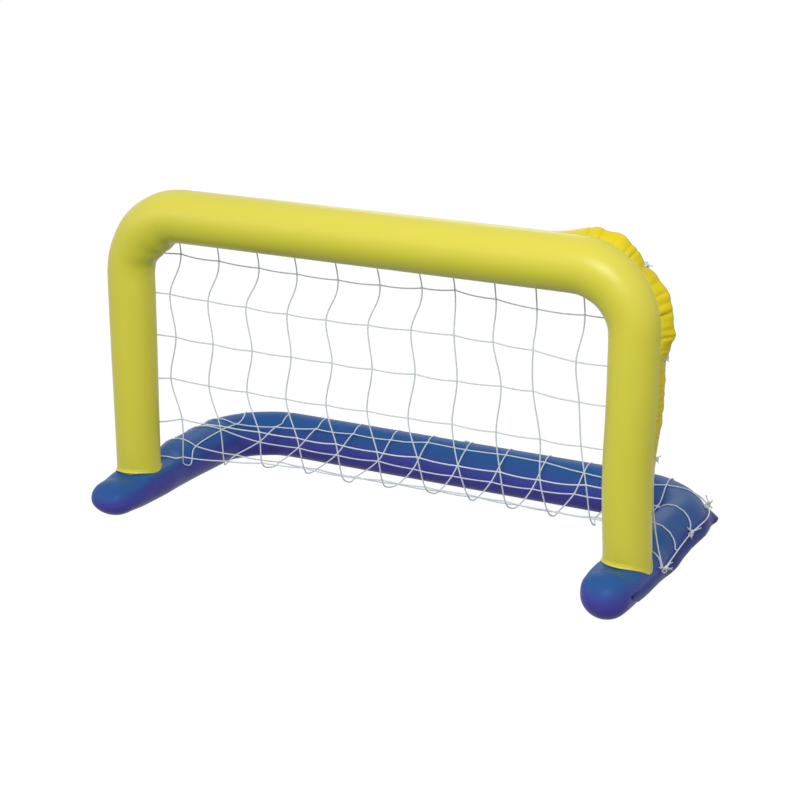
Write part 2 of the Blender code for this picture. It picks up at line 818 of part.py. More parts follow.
def build_net(material, parts):
    """The net: 14 columns and 11 rows of strands, fused where they cross."""
    nodes = net_nodes()
    lattice = Lattice()
    blocks = []
    for row in range(ROWS + 1):
        line = []
        for column in range(COLUMNS + 1):
            left = nodes[row][max(column - 1, 0)]
            right = nodes[row][min(column + 1, COLUMNS)]
            above = nodes[max(row - 1, 0)][column]
            below = nodes[min(row + 1, ROWS)][column]
            line.append(lattice.block(nodes[row][column], right - left, below - above))
        blocks.append(line)
    for row in range(ROWS + 1):
        for column in range(COLUMNS + 1):
            used = set()
            here = blocks[row][column]
            if column < COLUMNS:
                used.add((0, 1))
                if row in (0, ROWS):
                    points = end_row_points(row, column, row_pieces(row, column))
                else:
                    points = strand_points(nodes[row][column], nodes[row][column + 1], row_pieces(row, column))
                lattice.strand(lattice.side(here, (0, 1)), lattice.side(blocks[row][column + 1], (0, -1)), points)
            if column > 0:
                used.add((0, -1))
            if row < ROWS:
                used.add((1, 1))
                pieces, droop = column_pieces(row, column)
                if column in (0, COLUMNS):
                    points = border_points(row, -1.0 if column == 0 else 1.0, pieces)
                else:
                    points = strand_points(nodes[row][column], nodes[row + 1][column], pieces, droop)
                lattice.strand(lattice.side(here, (1, 1)), lattice.side(blocks[row + 1][column], (1, -1)), points)
            if row > 0:
                used.add((1, -1))
            lattice.close(here, used)
    bmesh.ops.recalc_face_normals(lattice.shape, faces=lattice.shape.faces)
    mesh = bpy.data.meshes.new("net")
    lattice.shape.to_mesh(mesh)
    lattice.shape.free()
    add_object("net", mesh, material, parts)


def lathe(shape, profile, sides, matrix):
    """Turn a profile of radius and height pairs round the local Z axis into a mesh."""
    rings = []
    for radius, height in profile:
        if radius == 0.0:
            rings.append([shape.verts.new(matrix @ Vector((0.0, 0.0, height)))])
            continue
        ring = []
        for step in range(sides):
            at = polar(radius, 360.0 * (step + 0.5) / sides)
            ring.append(shape.verts.new(matrix @ Vector((at.x, at.y, height))))
        rings.append(ring)
    pairs = list(zip(rings, rings[1:]))
    if profile[0][0] > 0.0:
        pairs.append((rings[-1], rings[0]))
    for ring, following in pairs:
        for step in range(sides):
            onward = (step + 1) % sides
            if len(ring) == 1:
                shape.faces.new((ring[0], following[onward], following[step]))
            elif len(following) == 1:
                shape.faces.new((ring[step], ring[onward], following[0]))
            else:
                shape.faces.new((ring[step], ring[onward], following[onward], following[step]))


def fused(name, pieces):
    """One closed mesh from overlapping closed pieces; each piece is a function that fills a mesh."""
    stage = bpy.context.scene.collection
    things = []
    for spot, fill in enumerate(pieces):
        shape = bmesh.new()
        fill(shape)
        bmesh.ops.recalc_face_normals(shape, faces=shape.faces)
        mesh = bpy.data.meshes.new(name)
        shape.to_mesh(mesh)
        shape.free()
        thing = bpy.data.objects.new(name + str(spot), mesh)
        stage.objects.link(thing)
        things.append(thing)
    for other in things[1:]:
        join = things[0].modifiers.new("join", "BOOLEAN")
        join.operation = "UNION"
        join.object = other
    settled = things[0].evaluated_get(bpy.context.evaluated_depsgraph_get())
    mesh = bpy.data.meshes.new_from_object(settled)
    mesh.name = name
    for thing in things:
        bpy.data.objects.remove(thing)
    return mesh


def tie_mesh(name, ring_radius):
    """One knotted cord: a ring round local X, its knot at local +Y and two tails beyond the knot."""
    upright = Matrix.Rotation(math.pi / 2, 4, "Y")
    knot_at = Vector((0.0, ring_radius, 0.0))

    def ring(shape):
        turned = []
        for step in range(5):
            at = polar(CORD / 2, 72.0 * step)
            turned.append((ring_radius + at.x, at.y))
        lathe(shape, turned, 12, upright)

    def knot(shape):
        place = Matrix.Translation(knot_at)
        bmesh.ops.create_icosphere(shape, subdivisions=1, radius=CORD * 1.15, matrix=place)

    def tail(direction):
        def fill(shape):
            turn = direction.to_track_quat("Z", "Y").to_matrix().to_4x4()
            place = Matrix.Translation(knot_at + direction * TAIL / 2) @ turn
            bmesh.ops.create_cone(
                shape,
                cap_ends=True,
                segments=5,
                radius1=CORD / 2,
                radius2=CORD / 2,
                depth=TAIL,
                matrix=place,
            )
        return fill

    tails = [unit(Vector((0.75, 0.75, 0.2))), unit(Vector((-0.75, 0.75, -0.25)))]
    return fused(name, [ring, knot, tail(tails[0]), tail(tails[1])])


def place_tie(name, mesh, material, parts, centre, along, knot_way):
    """Put a tie with its ring across a strand and its knot to one side."""
    along = unit(along)
    knot_way = unit(knot_way - along * knot_way.dot(along))
    other = along.cross(knot_way)
    turn = Matrix((along, knot_way, other)).transposed().to_4x4()
    tie = add_object(name, mesh, material, parts)
    tie.matrix_world = Matrix.Translation(centre) @ turn
    return tie


def build_ties(material, parts, cutters, front_sheet, upper_sheet):
    """Every cord that ties the net to a flap, with the holes that they go through."""
    frame_mesh = tie_mesh("tie_cord", TIE_RING)
    base_mesh = tie_mesh("stitch_cord", STITCH_RING)
    frame_places = [("crossbar_tie_middle", 0.0, 1.0)]
    for word, run in (("inner", CROSSBAR_TIE), ("outer", SHOULDER_TIE)):
        frame_places += [("crossbar_tie_%s_right" % word, run, 1.0), ("crossbar_tie_%s_left" % word, run, -1.0)]
    for word, run in zip(("corner", "upper", "lower"), FRAME_TIE_RUNS[2:]):
        frame_places += [("post_tie_%s_right" % word, run, 1.0), ("post_tie_%s_left" % word, run, -1.0)]
    for name, run, side in frame_places:
        place = FRAME.place(run)
        hole, out, centre = frame_tie_frame()
        shrink = Vector((frame_radius(run) - POST_RADIUS, 0.0))
        hole = hole + shrink
        centre = centre + shrink
        across = Vector((-out.y, out.x)) * POST_RADIUS / 5
        ends = [frame_point(place, at.x, at.y, side) for at in (hole - across, hole + across)]
        drill = make_cylinder(name + "_hole", ends[0], ends[1], TIE_HOLE, 10, cutters)
        cut_with(front_sheet, drill)
        middle = frame_point(place, centre.x, centre.y, side)
        step = frame_point(FRAME.place(run + 0.001), centre.x, centre.y, side) - middle
        outward = frame_point(place, centre.x + TAIL, centre.y, side) - middle
        beyond = frame_point(place, centre.x + out.x * TAIL, centre.y + out.y * TAIL, side) - middle
        place_tie(name, frame_mesh, material, parts, middle, step, outward + beyond)
    corner = BASE.bar_run + BASE.bend_run / 2
    base_places = [("rear_tie_middle", 0.0, 1.0)]
    sides = (("right", 1.0), ("left", -1.0))
    for word, side in sides:
        base_places += [
            ("rear_tie_inner_" + word, CROSSBAR_TIE, side),
            ("rear_tie_outer_" + word, SHOULDER_TIE, side),
            ("base_tie_corner_" + word, corner, side),
            ("base_tie_rear_" + word, BASE.run_at_leg(POST_Y + REAR_SIDE_TIE), side),
            ("base_tie_front_" + word, BASE.run_at_leg(POST_Y + FRONT_SIDE_TIE), side),
        ]
    for name, run, side in base_places:
        place = BASE.place(run)
        root, out, up, centre = base_tie_frame(run)
        for reach, word in ((-STITCH_RING, "_hole_in"), (STITCH_RING, "_hole_out")):
            hole = centre + out * reach
            drill_ends = (hole - up * DRILL_REACH, hole + up * DRILL_REACH)
            ends = [base_point(place, at.x, at.y, side) for at in drill_ends]
            drill = make_cylinder(name + word, ends[0], ends[1], TIE_HOLE, 10, cutters)
            cut_with(upper_sheet, drill)
        middle = base_point(place, centre.x, centre.y, side)
        step = base_point(BASE.place(run + 0.001), centre.x, centre.y, side) - middle
        aside = centre + out + up * 0.4
        outward = base_point(place, aside.x, aside.y, side) - middle
        place_tie(name, base_mesh, material, parts, middle, step, outward)


def box(shape, low, high):
    """A box between two corners, added to a mesh."""
    size = high - low
    middle = Matrix.Translation((low + high) / 2)
    bmesh.ops.create_cube(shape, size=1.0, matrix=middle @ Matrix.Diagonal((size.x, size.y, size.z, 1.0)))


def valve_heights():
    """Heights above the sheet's face: the seat's top, the rim's top and the closed plug's underside."""
    seat_top = GAP + VALVE_SEAT_THICKNESS
    rim_top = seat_top + GAP + RIM_THICKNESS
    return seat_top, rim_top, rim_top + GAP


def seat_piece(shape):
    """The welded ring that the stem slides through."""
    seat_top = valve_heights()[0]
    bore = STEM_RADIUS + GAP
    profile = [(bore, GAP), (VALVE_SEAT_RADIUS, GAP), (VALVE_SEAT_RADIUS, seat_top), (bore, seat_top)]
    lathe(shape, profile, VALVE_SIDES, Matrix.Identity(4))


def stem_piece(shape):
    """The soft tube that is blown through, with a rim that stops it on the seat."""
    seat_top, rim_top, plug_low = valve_heights()
    rim_low = seat_top + GAP
    profile = [
        (STEM_BORE, -STEM_DEPTH),
        (STEM_RADIUS, -STEM_DEPTH),
        (STEM_RADIUS, rim_low),
        (RIM_RADIUS, rim_low),
        (RIM_RADIUS, rim_top),
        (STEM_BORE, rim_top),
    ]
    lathe(shape, profile, VALVE_SIDES, Matrix.Identity(4))


def lug_piece(shape):
    """The lug on the rim that the plug's strap bends at."""
    seat_top, rim_top, plug_low = valve_heights()
    inner = Vector((RIM_RADIUS - 0.0008, -STRAP_WIDTH / 2, seat_top + GAP))
    box(shape, inner, Vector((HINGE_REACH - GAP, STRAP_WIDTH / 2, rim_top)))


def cap_piece(shape):
    """The plug's cap and its tapered spigot."""
    plug_low = valve_heights()[2]
    profile = [
        (0.0, plug_low - SPIGOT_LENGTH),
        (SPIGOT_TIP, plug_low - SPIGOT_LENGTH),
        (STEM_BORE - 2 * GAP, plug_low),
        (PLUG_RADIUS, plug_low),
        (PLUG_RADIUS, plug_low + PLUG_THICKNESS),
        (0.0, plug_low + PLUG_THICKNESS),
    ]
    lathe(shape, profile, VALVE_SIDES, Matrix.Identity(4))


def strap_piece(shape):
    """The strap from the cap's edge to just past its bend."""
    plug_low = valve_heights()[2]
    inner = Vector((PLUG_RADIUS - 0.0012, -STRAP_WIDTH / 2, plug_low))
    box(shape, inner, Vector((HINGE_REACH + 0.0005, STRAP_WIDTH / 2, plug_low + STRAP_THICKNESS)))


def check_piece(shape):
    """The thin inner disc that air pushes open and that falls shut behind it."""
    top = -STEM_DEPTH - GAP
    profile = [(0.0, top - CHECK_THICKNESS), (CHECK_RADIUS, top - CHECK_THICKNESS), (CHECK_RADIUS, top), (0.0, top)]
    lathe(shape, profile, VALVE_SIDES, Matrix.Identity(4))


def check_tab_piece(shape):
    """The tab that the inner disc bends at."""
    top = -STEM_DEPTH - GAP
    low = Vector((CHECK_RADIUS - 0.0010, -STRAP_WIDTH / 2, top - CHECK_THICKNESS))
    box(shape, low, Vector((CHECK_HINGE_REACH + 0.0004, STRAP_WIDTH / 2, top)))


def place_at(name, mesh, material, parts, place, pivot):
    """Put a piece where its valve is, with its origin on its own pivot."""
    thing = add_object(name, mesh.copy(), material, parts)
    thing.data.transform(Matrix.Translation(-pivot))
    thing.matrix_world = place @ Matrix.Translation(pivot)
    return thing


def valve_place(face, outward, hinge_way):
    """A valve's own axes: Z out of the sheet and X towards the plug's hinge."""
    up = unit(outward)
    ahead = unit(hinge_way - up * hinge_way.dot(up))
    aside = up.cross(ahead)
    return Matrix.Translation(face) @ Matrix((ahead, aside, up)).transposed().to_4x4()


def frame_valve_place():
    """The frame's valve: on the back of the +X post, with its plug hinged below."""
    run = FRAME.run_at_leg(FRAME_VALVE_HEIGHT)
    angle = 90.0 + ROUND_STEP / 2
    radius = (frame_radius(run) - SHEET - GAP) * math.cos(math.radians(ROUND_STEP / 2))
    place = FRAME.place(run)
    near, far = polar(radius, angle), polar(radius + 1.0, angle)
    face = frame_point(place, near.x, near.y)
    return valve_place(face, frame_point(place, far.x, far.y) - face, Vector((0.0, 0.0, -1.0)))


def base_valve_place():
    """The base's valve: on the back of the rear tube, with its plug hinged on the lower side."""
    angle = BASE_SEAM_TILT + ROUND_STEP * 1.5
    radius = BASE_RADIUS * math.cos(math.radians(ROUND_STEP / 2))
    near, far = polar(radius, angle), polar(radius + 1.0, angle)
    face = Vector((BASE_VALVE_ACROSS, REAR_Y + near.x, BASE_AXIS_Z + near.y))
    outward = Vector((0.0, far.x - near.x, far.y - near.y))
    return valve_place(face, outward, Vector((0.0, 0.0, -1.0)))


def build_valves(material, parts, cutters, frame_sheet, base_sheet):
    """One valve for each air chamber: seat, sliding stem, hinged plug and inner check disc."""
    meshes = {
        "seat": fused("valve_seat", [seat_piece]),
        "stem": fused("valve_stem", [stem_piece, lug_piece]),
        "plug": fused("valve_plug", [cap_piece, strap_piece]),
        "check": fused("valve_check", [check_piece, check_tab_piece]),
    }
    seat_top, rim_top, plug_low = valve_heights()
    pivots = {
        "seat": Vector((0.0, 0.0, 0.0)),
        "stem": Vector((0.0, 0.0, 0.0)),
        "plug": Vector((HINGE_REACH, 0.0, plug_low)),
        "check": Vector((CHECK_HINGE_REACH, 0.0, -STEM_DEPTH - GAP)),
    }
    for word, place, sheet in (
        ("frame", frame_valve_place(), frame_sheet),
        ("base", base_valve_place(), base_sheet),
    ):
        low = place @ Vector((0.0, 0.0, -0.004))
        high = place @ Vector((0.0, 0.0, 0.004))
        drill = make_cylinder(word + "_valve_hole", low, high, STEM_RADIUS + 2 * GAP, VALVE_SIDES, cutters)
        cut_with(sheet, drill)
        for part_name, mesh in meshes.items():
            name = word + "_valve_" + part_name
            place_at(name, mesh, material, parts, place, pivots[part_name])


def main():
    """Build every piece of the goal."""
    for thing in list(bpy.data.objects):
        bpy.data.objects.remove(thing)
    parts = bpy.data.collections.new("inflatable_goal")
    cutters = bpy.data.collections.new("cutters")
    bpy.context.scene.collection.children.link(parts)
    bpy.context.scene.collection.children.link(cutters)
    yellow = make_material("yellow_vinyl", (0.60, 0.54, 0.04), 0.35)
    blue = make_material("blue_vinyl", (0.05, 0.10, 0.36), 0.35)
    cord = make_material("white_cord", (0.80, 0.80, 0.80), 0.8)
    front_sheet, rear_sheet = build_frame_sheets(yellow, parts)
    upper_sheet, lower_sheet = build_base_sheets(blue, parts)
    cut_feet((front_sheet, rear_sheet), cutters)
    build_collars(yellow, parts)
    build_net(cord, parts)
    build_ties(cord, parts, cutters, front_sheet, upper_sheet)
    build_valves(make_material("clear_soft_vinyl", (0.75, 0.78, 0.80), 0.3), parts, cutters, rear_sheet, upper_sheet)


main()
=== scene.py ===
# %% [markdown]
# # An inflatable goal with a tied net
#
# The real thing is two air-filled tubes of soft PVC sheet: a yellow frame, which is an upside-down U, and a
# blue base, which is a U that lies on the floor. A knotted net is tied to the flaps of their welded seams.
# The CAD part gives the places and sizes, and the photograph shows how the net hangs. This lesson dresses the
# part, one piece at a time.

# %% Load the CAD part
import math

import bmesh
import bpy
import numpy as np
from mathutils import Matrix, Vector, noise


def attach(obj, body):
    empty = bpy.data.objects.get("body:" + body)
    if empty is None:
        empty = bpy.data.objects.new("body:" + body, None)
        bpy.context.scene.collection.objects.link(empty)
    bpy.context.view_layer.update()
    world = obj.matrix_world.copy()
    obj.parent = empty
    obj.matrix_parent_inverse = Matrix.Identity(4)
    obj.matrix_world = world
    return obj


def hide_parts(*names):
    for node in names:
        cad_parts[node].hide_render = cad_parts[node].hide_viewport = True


TURN = 2 * math.pi
NOISE_SEED = 3
noise.seed_set(NOISE_SEED)
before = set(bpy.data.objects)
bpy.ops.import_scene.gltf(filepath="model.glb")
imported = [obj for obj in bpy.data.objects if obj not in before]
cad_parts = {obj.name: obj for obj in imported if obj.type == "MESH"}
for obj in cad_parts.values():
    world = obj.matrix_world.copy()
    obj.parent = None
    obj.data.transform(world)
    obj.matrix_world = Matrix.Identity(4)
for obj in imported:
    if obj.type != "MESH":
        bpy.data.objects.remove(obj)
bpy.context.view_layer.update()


def new_object(name, data):
    thing = bpy.data.objects.new(name, data)
    bpy.context.scene.collection.objects.link(thing)
    return thing


def in_short(numbers):
    return [round(float(number), 3) for number in numbers]


# %% [markdown]
# ## The camera
#
# The camera comes first, because some knots of the net are placed where the photograph shows them. Its place
# and lens were fitted to the photograph: it stands in front of the goal, 29 degrees towards the right post,
# and looks down by 17 degrees through a lens of about 90 mm.

# %% Camera
CAMERA_AT = (2.083, -3.866, 1.650)
CAMERA_TURN = 28.62
CAMERA_DOWN = 17.13
LENS_MM = 89.8
SENSOR_MM = 36.0
PICTURE = 800.0

camera_data = bpy.data.cameras.new("camera")
camera_data.sensor_width = SENSOR_MM
camera_data.lens = LENS_MM
camera = new_object("camera", camera_data)
camera.location = CAMERA_AT
camera.rotation_euler = (math.radians(90.0 - CAMERA_DOWN), 0.0, math.radians(CAMERA_TURN))
bpy.context.scene.camera = camera
bpy.context.scene.view_settings.view_transform = "Standard"


def seen_at(pixel, depth=None, height=None):
    """The point seen at a pixel of the photograph, on the plane at a depth along Y or at a height."""
    zoom = PICTURE * LENS_MM / SENSOR_MM
    ray = Vector(((pixel[0] - PICTURE / 2) / zoom, (PICTURE / 2 - pixel[1]) / zoom, -1.0))
    ray = camera.rotation_euler.to_matrix() @ ray
    start = Vector(CAMERA_AT)
    far = (depth - start.y) / ray.y if height is None else (height - start.z) / ray.z
    return np.array(start + ray * far)


print("camera at", CAMERA_AT, "with a lens of", LENS_MM, "mm")

# %% [markdown]
# ## Sizes
#
# Everything is in metres, X along the crossbar and Z up. Each tube is half a U, run from the middle of its
# bar, round its bend and down its leg, and mirrored. A place on it is a run, plus a distance outwards and one
# across. That makes seams, flaps and cords easy to lay along the tubes.

# %% Sizes of the tubes
POST_Y = -0.2008
POST_X = 0.628
CROSSBAR_HEIGHT = 0.715
FRAME_BEND = 0.125
CROSSBAR_RADIUS = 0.0610
POST_RADIUS = 0.055
FOOT_RADIUS = 0.052
BASE_X = 0.625
BASE_RADIUS = 0.0565
NOSE_RADIUS = 0.0535
BASE_AXIS_Z = 0.0535
BASE_BEND = 0.120
REAR_Y = POST_Y + 0.483
NOSE_Y = POST_Y - 0.098
NOSE_LENGTH = 0.0575
FRAME_FLAP = 0.034
BASE_FLAP = 0.038
FLAP_SHEET = 0.0006
TIE_SPACING = 0.209
FRONT_SIDE_TIE = 0.058
REAR_SIDE_TIE = 0.250
LEFT_BEND_PULL = 0.010
RIGHT_POST_PULL = 0.006
CORNER_PULL = 0.014
BASE_LEAN = 0.010


def smooth_step(value, low, high):
    share = np.clip((np.asarray(value, float) - low) / (high - low), 0.0, 1.0)
    return share * share * (3.0 - 2.0 * share)


class HalfU:
    """The +X half of a U, by the run from the middle of its bar."""

    def __init__(self, half_width, bar, leg_end, bend):
        self.half_width = half_width
        self.bar = bar
        self.leg_end = leg_end
        self.bend = bend
        self.bar_run = half_width - bend
        self.bend_end = self.bar_run + bend * math.pi / 2
        self.total = self.bend_end + abs(bar - bend - leg_end)

    def places(self, run):
        """How far across and along each run is, and which way is outwards (radians from across)."""
        run = np.asarray(run, float)
        turn = np.clip(math.pi / 2 - (run - self.bar_run) / self.bend, 0.0, math.pi / 2)
        past = np.maximum(run - self.bend_end, 0.0)
        across = np.minimum(run, self.bar_run) + self.bend * np.cos(turn)
        along = self.bar - self.bend + self.bend * np.sin(turn) - past
        return across, along, turn

    def run_at_leg(self, along):
        return self.bend_end + (self.bar - self.bend - along)

    def bend_share(self, run):
        """0 on the straights and 1 in the middle of the bend."""
        rise = smooth_step(run, self.bar_run - 0.03, self.bar_run + 0.07)
        return rise * (1.0 - smooth_step(run, self.bend_end - 0.07, self.bend_end + 0.03))


FRAME = HalfU(POST_X, CROSSBAR_HEIGHT, BASE_AXIS_Z, FRAME_BEND)
BASE = HalfU(BASE_X, REAR_Y, NOSE_Y, BASE_BEND)
FRAME_CORNER = (FRAME.bar_run + FRAME.bend_end) / 2
BASE_CORNER = (BASE.bar_run + BASE.bend_end) / 2
FRAME_TIES = [TIE_SPACING, 2 * TIE_SPACING, FRAME_CORNER, FRAME.run_at_leg(0.530), FRAME.run_at_leg(0.310)]
FLAP_END = FRAME.run_at_leg(0.100)
FRONT_RUN = BASE.run_at_leg(POST_Y + FRONT_SIDE_TIE)
REAR_RUN = BASE.run_at_leg(POST_Y + REAR_SIDE_TIE)
EAR_RUN = BASE.bar_run + 0.66 * (BASE.bend_end - BASE.bar_run)
BASE_CORNER_TIE = BASE.bar_run + 0.70 * (BASE.bend_end - BASE.bar_run)
print("half the frame is", round(FRAME.total, 3), "m long, and half the base", round(BASE.total, 3))


# %% Points beside the tubes
def frame_pull(run, side):
    """How far the tube is drawn in: at the left bend, and a little in the lower right post."""
    height = FRAME.places(run)[1]
    if side < 0:
        return LEFT_BEND_PULL * FRAME.bend_share(run)
    return RIGHT_POST_PULL * np.exp(-((height - 0.27) / 0.13) ** 2) * smooth_step(height, 0.05, 0.17)


def frame_points(run, out, back, side):
    """World points beside the frame: outwards from its axis, and back behind its plane."""
    across, along, turn = FRAME.places(run)
    out = out - frame_pull(run, side)
    x = side * (across + out * np.cos(turn))
    z = along + out * np.sin(turn)
    return np.stack(np.broadcast_arrays(x, POST_Y + back, z), axis=-1)


def base_points(run, out, up, side, reach=0.0):
    """World points beside the base: outwards from its axis, up from it, and on beyond its leg's end."""
    across, along, turn = BASE.places(run)
    out = out - CORNER_PULL * BASE.bend_share(run)
    x = side * (across + out * np.cos(turn)) - BASE_LEAN * smooth_step(along, POST_Y, POST_Y + 0.25)
    y = along - reach + out * np.sin(turn)
    return np.stack(np.broadcast_arrays(x, y, BASE_AXIS_Z + up), axis=-1)


print("the right foot stands at", in_short(frame_points(FRAME.total, 0.0, 0.0, 1.0)))

# %% [markdown]
# ## Mesh helpers
#
# A skin is a grid of points with smooth shading. A cord is a ring of points carried along a path, with a UV
# map that runs along it and round it, so that its twist can be drawn in the material.


# %% Mesh helpers
def new_piece(name, points, faces, material):
    mesh = bpy.data.meshes.new(name)
    mesh.from_pydata(points, [], faces)
    mesh.shade_smooth()
    mesh.materials.append(material)
    return new_object(name, mesh)


def write_uvs(piece, name, spots):
    """A UV layer with one spot for each point of the mesh."""
    layer = piece.data.uv_layers.new(name=name)
    for loop in piece.data.loops:
        layer.data[loop.index].uv = spots[loop.vertex_index]


def grid_skin(name, points, material, closed=False):
    """A smooth skin over a grid of points. Its UVs count the rows and columns from 0 to 1."""
    rows, columns = points.shape[:2]
    index = np.arange(rows * columns).reshape(rows, columns)
    if closed:
        index = np.concatenate([index, index[:, :1]], axis=1)
    corners = [index[:-1, :-1], index[:-1, 1:], index[1:, 1:], index[1:, :-1]]
    faces = np.stack([corner.ravel() for corner in corners], axis=1)
    skin = new_piece(name, points.reshape(-1, 3).tolist(), faces.tolist(), material)
    write_uvs(skin, "skin", [(row / (rows - 1), column / (columns - 1))
                             for row in range(rows) for column in range(columns)])
    return skin


def both_sides(half, *settings):
    """The rows of the -X half and the +X half, joined in the middle."""
    return np.concatenate([half(-1.0, *settings)[::-1], half(1.0, *settings)[1:]])


def weld(piece, distance, outward=False):
    """Join the doubled points where a skin closes on itself, and turn its faces outwards if asked."""
    shape = bmesh.new()
    shape.from_mesh(piece.data)
    bmesh.ops.remove_doubles(shape, verts=shape.verts, dist=distance)
    if outward:
        bmesh.ops.recalc_face_normals(shape, faces=shape.faces)
    shape.to_mesh(piece.data)
    shape.free()
    piece.data.shade_smooth()


def sheet_thickness(piece, thickness):
    layers = piece.modifiers.new("sheet", "SOLIDIFY")
    layers.thickness = thickness
    layers.offset = 0.0


def waves(along, seed, size):
    """Soft uneven waves between -1 and 1 of about one size, from fixed sines."""
    along = np.asarray(along, float) * TURN / size
    three = np.sin(along * 0.83 + seed) + 0.8 * np.sin(along * 1.31 + seed * 2.7)
    return (three + 0.6 * np.sin(along * 0.47 + seed * 5.1)) / 2.4


print("mesh helpers are ready")


# %% Cord helper
def cord_rings(path, radius, sides):
    """Rings of points round a path, and how far along it each ring is."""
    path = np.asarray(path, float)
    ahead = np.gradient(path, axis=0)
    ahead /= np.linalg.norm(ahead, axis=1, keepdims=True) + 1e-12
    run = np.concatenate([[0.0], np.cumsum(np.linalg.norm(np.diff(path, axis=0), axis=1))])
    radius = np.broadcast_to(radius, (len(path),))
    guide = np.array([0.31, 0.17, 0.94]) if abs(ahead[0, 2]) < 0.8 else np.array([0.95, 0.2, 0.1])
    angles = TURN * np.arange(sides) / sides
    rings = []
    for point, way, size in zip(path, ahead, radius):
        one = np.cross(way, guide)
        one /= np.linalg.norm(one)
        guide = np.cross(one, way)
        rings.append(point + size * (np.outer(np.cos(angles), one) + np.outer(np.sin(angles), guide)))
    return rings, run


def ring_faces(first, rows, sides):
    """The faces between rings of points that follow each other."""
    faces = []
    for low in range(first, first + (rows - 1) * sides, sides):
        for step in range(sides):
            on = (step + 1) % sides
            faces.append((low + step, low + on, low + sides + on, low + sides + step))
    return faces


def cord_mesh(name, cords, material, sides=8):
    """One mesh of many round cords. Each cord is a path and a radius, or one radius for each point."""
    points, faces, spots = [], [], []
    for path, radius in cords:
        rings, run = cord_rings(path, radius, sides)
        first = len(points)
        for ring, far in zip(rings, run):
            points += [tuple(point) for point in ring]
            spots += [(far, step / sides) for step in range(sides)]
        last = len(points) - sides
        faces += ring_faces(first, len(rings), sides)
        faces += [tuple(reversed(range(first, first + sides))), tuple(range(last, last + sides))]
    cord = new_piece(name, points, faces, material)
    write_uvs(cord, "cord", spots)
    return cord


print("cord helper is ready")

# %% [markdown]
# ## Material helpers
#
# Colours are written as hex sRGB values and turned to linear ones here. Each small function adds one kind of
# shader node and gives back its output, and pattern scales are written in millimetres.

# %% Material helpers
SOFT_PVC_IOR = 1.53


def colour(code):
    parts = [int(code[i:i + 2], 16) / 255 for i in (1, 3, 5)]
    linear = [p / 12.92 if p <= 0.04045 else ((p + 0.055) / 1.055) ** 2.4 for p in parts]
    return (*linear, 1.0)


def set_inputs(node, inputs):
    """Give a node its inputs. Each is a value, or another node's output to link to it."""
    for key, value in inputs.items():
        if isinstance(value, bpy.types.NodeSocket):
            node.id_data.links.new(value, node.inputs[key])
        else:
            node.inputs[key].default_value = value


def add(tree, kind, inputs=None, **settings):
    """Add a shader node, and give back its outputs."""
    node = tree.nodes.new("ShaderNode" + kind)
    for key, value in settings.items():
        setattr(node, key, value)
    set_inputs(node, inputs or {})
    return node.outputs


def work_out(tree, operation, *values, **settings):
    """One step of arithmetic."""
    return add(tree, "Math", dict(enumerate(values)), operation=operation, **settings)[0]


def patches(tree, size_mm):
    """Cloudy noise that is fixed to the object, with patches of about one size."""
    place = add(tree, "TexCoord")["Object"]
    return add(tree, "TexNoise", {"Vector": place, "Scale": 1000.0 / size_mm})["Fac"]


def blend(tree, share, first, second):
    """A mix of two colours, each a hex code or an output."""
    first, second = [colour(tint) if isinstance(tint, str) else tint for tint in (first, second)]
    return add(tree, "Mix", {0: share, 6: first, 7: second}, data_type="RGBA")[2]


def spread(tree, value, start, end, low=0.0, high=1.0, **settings):
    """Low where a value is at its start, high at its end, and even between them."""
    inputs = {"Value": value, "From Min": start, "From Max": end, "To Min": low, "To Max": high}
    return add(tree, "MapRange", inputs, **settings)["Result"]


def bump(tree, height, strength, distance, under=None):
    """A bump, on top of another one if there is one under it."""
    inputs = {"Height": height, "Strength": strength, "Distance": distance}
    if under is not None:
        inputs["Normal"] = under
    return add(tree, "Bump", inputs)["Normal"]


def uv_parts(tree, layer):
    return add(tree, "SeparateXYZ", {"Vector": add(tree, "UVMap", uv_map=layer)["UV"]})


def new_material(name):
    material = bpy.data.materials.new(name)
    material.use_nodes = True
    return material, material.node_tree, material.node_tree.nodes["Principled BSDF"]


print("material helpers are ready")

# %% [markdown]
# ## PVC sheet
#
# The tubes are calendered soft PVC sheet, 0.3 mm thick and satin. In the photograph the yellow turns greener
# towards the floor, and the blue more violet. The colour follows the way that the sheet faces: the upward
# colour is painted light and the downward one is painted shade, a change of hue as well as of brightness, on
# top of the lamps' own shading. Two bumps go into it: slow dents about 60 mm wide, where the air doesn't pull
# it quite even, and the grain of the rollers. Real grain is 0.2 mm, too fine to show, so it is drawn at 1 mm.

# %% PVC sheet
UNEVEN = 0.16


def pvc_sheet(name, face, under, shade_to_light_span, gloss):
    """A sheet with a colour of painted light facing up and one of painted shade facing down, and where between
    the two it turns.
    """
    material, tree, shader = new_material(name)
    upward = add(tree, "SeparateXYZ", {"Vector": add(tree, "NewGeometry")["Normal"]})["Z"]
    # painted light and shade: the share turns from the under colour, painted shade on downward faces, to the
    # face colour, painted light on upward faces
    share = spread(tree, upward, *shade_to_light_span, interpolation_type="SMOOTHSTEP")
    drift = work_out(tree, "MULTIPLY", patches(tree, 140), UNEVEN)
    share = work_out(tree, "ADD", share, drift, use_clamp=True)
    dents = bump(tree, patches(tree, 60), 0.35, 0.0012)
    grain = bump(tree, patches(tree, 1.0), 0.25, 0.00004, dents)
    set_inputs(shader, {"Base Color": blend(tree, share, under, face), "Normal": grain, "IOR": SOFT_PVC_IOR,
                        "Specular IOR Level": gloss, "Roughness": 0.36})
    return material


# the first colour is painted light on the tubes' tops, the second painted shade towards the floor
yellow = pvc_sheet("yellow_pvc_sheet_painted_shade", "#E3D94C", "#C4C812", (-0.95, 0.60), 0.36)
blue = pvc_sheet("blue_pvc_sheet_painted_shade", "#2E5D9E", "#524AAE", (-0.35, 0.98), 0.07)
print("PVC:", yellow.name, "and", blue.name)
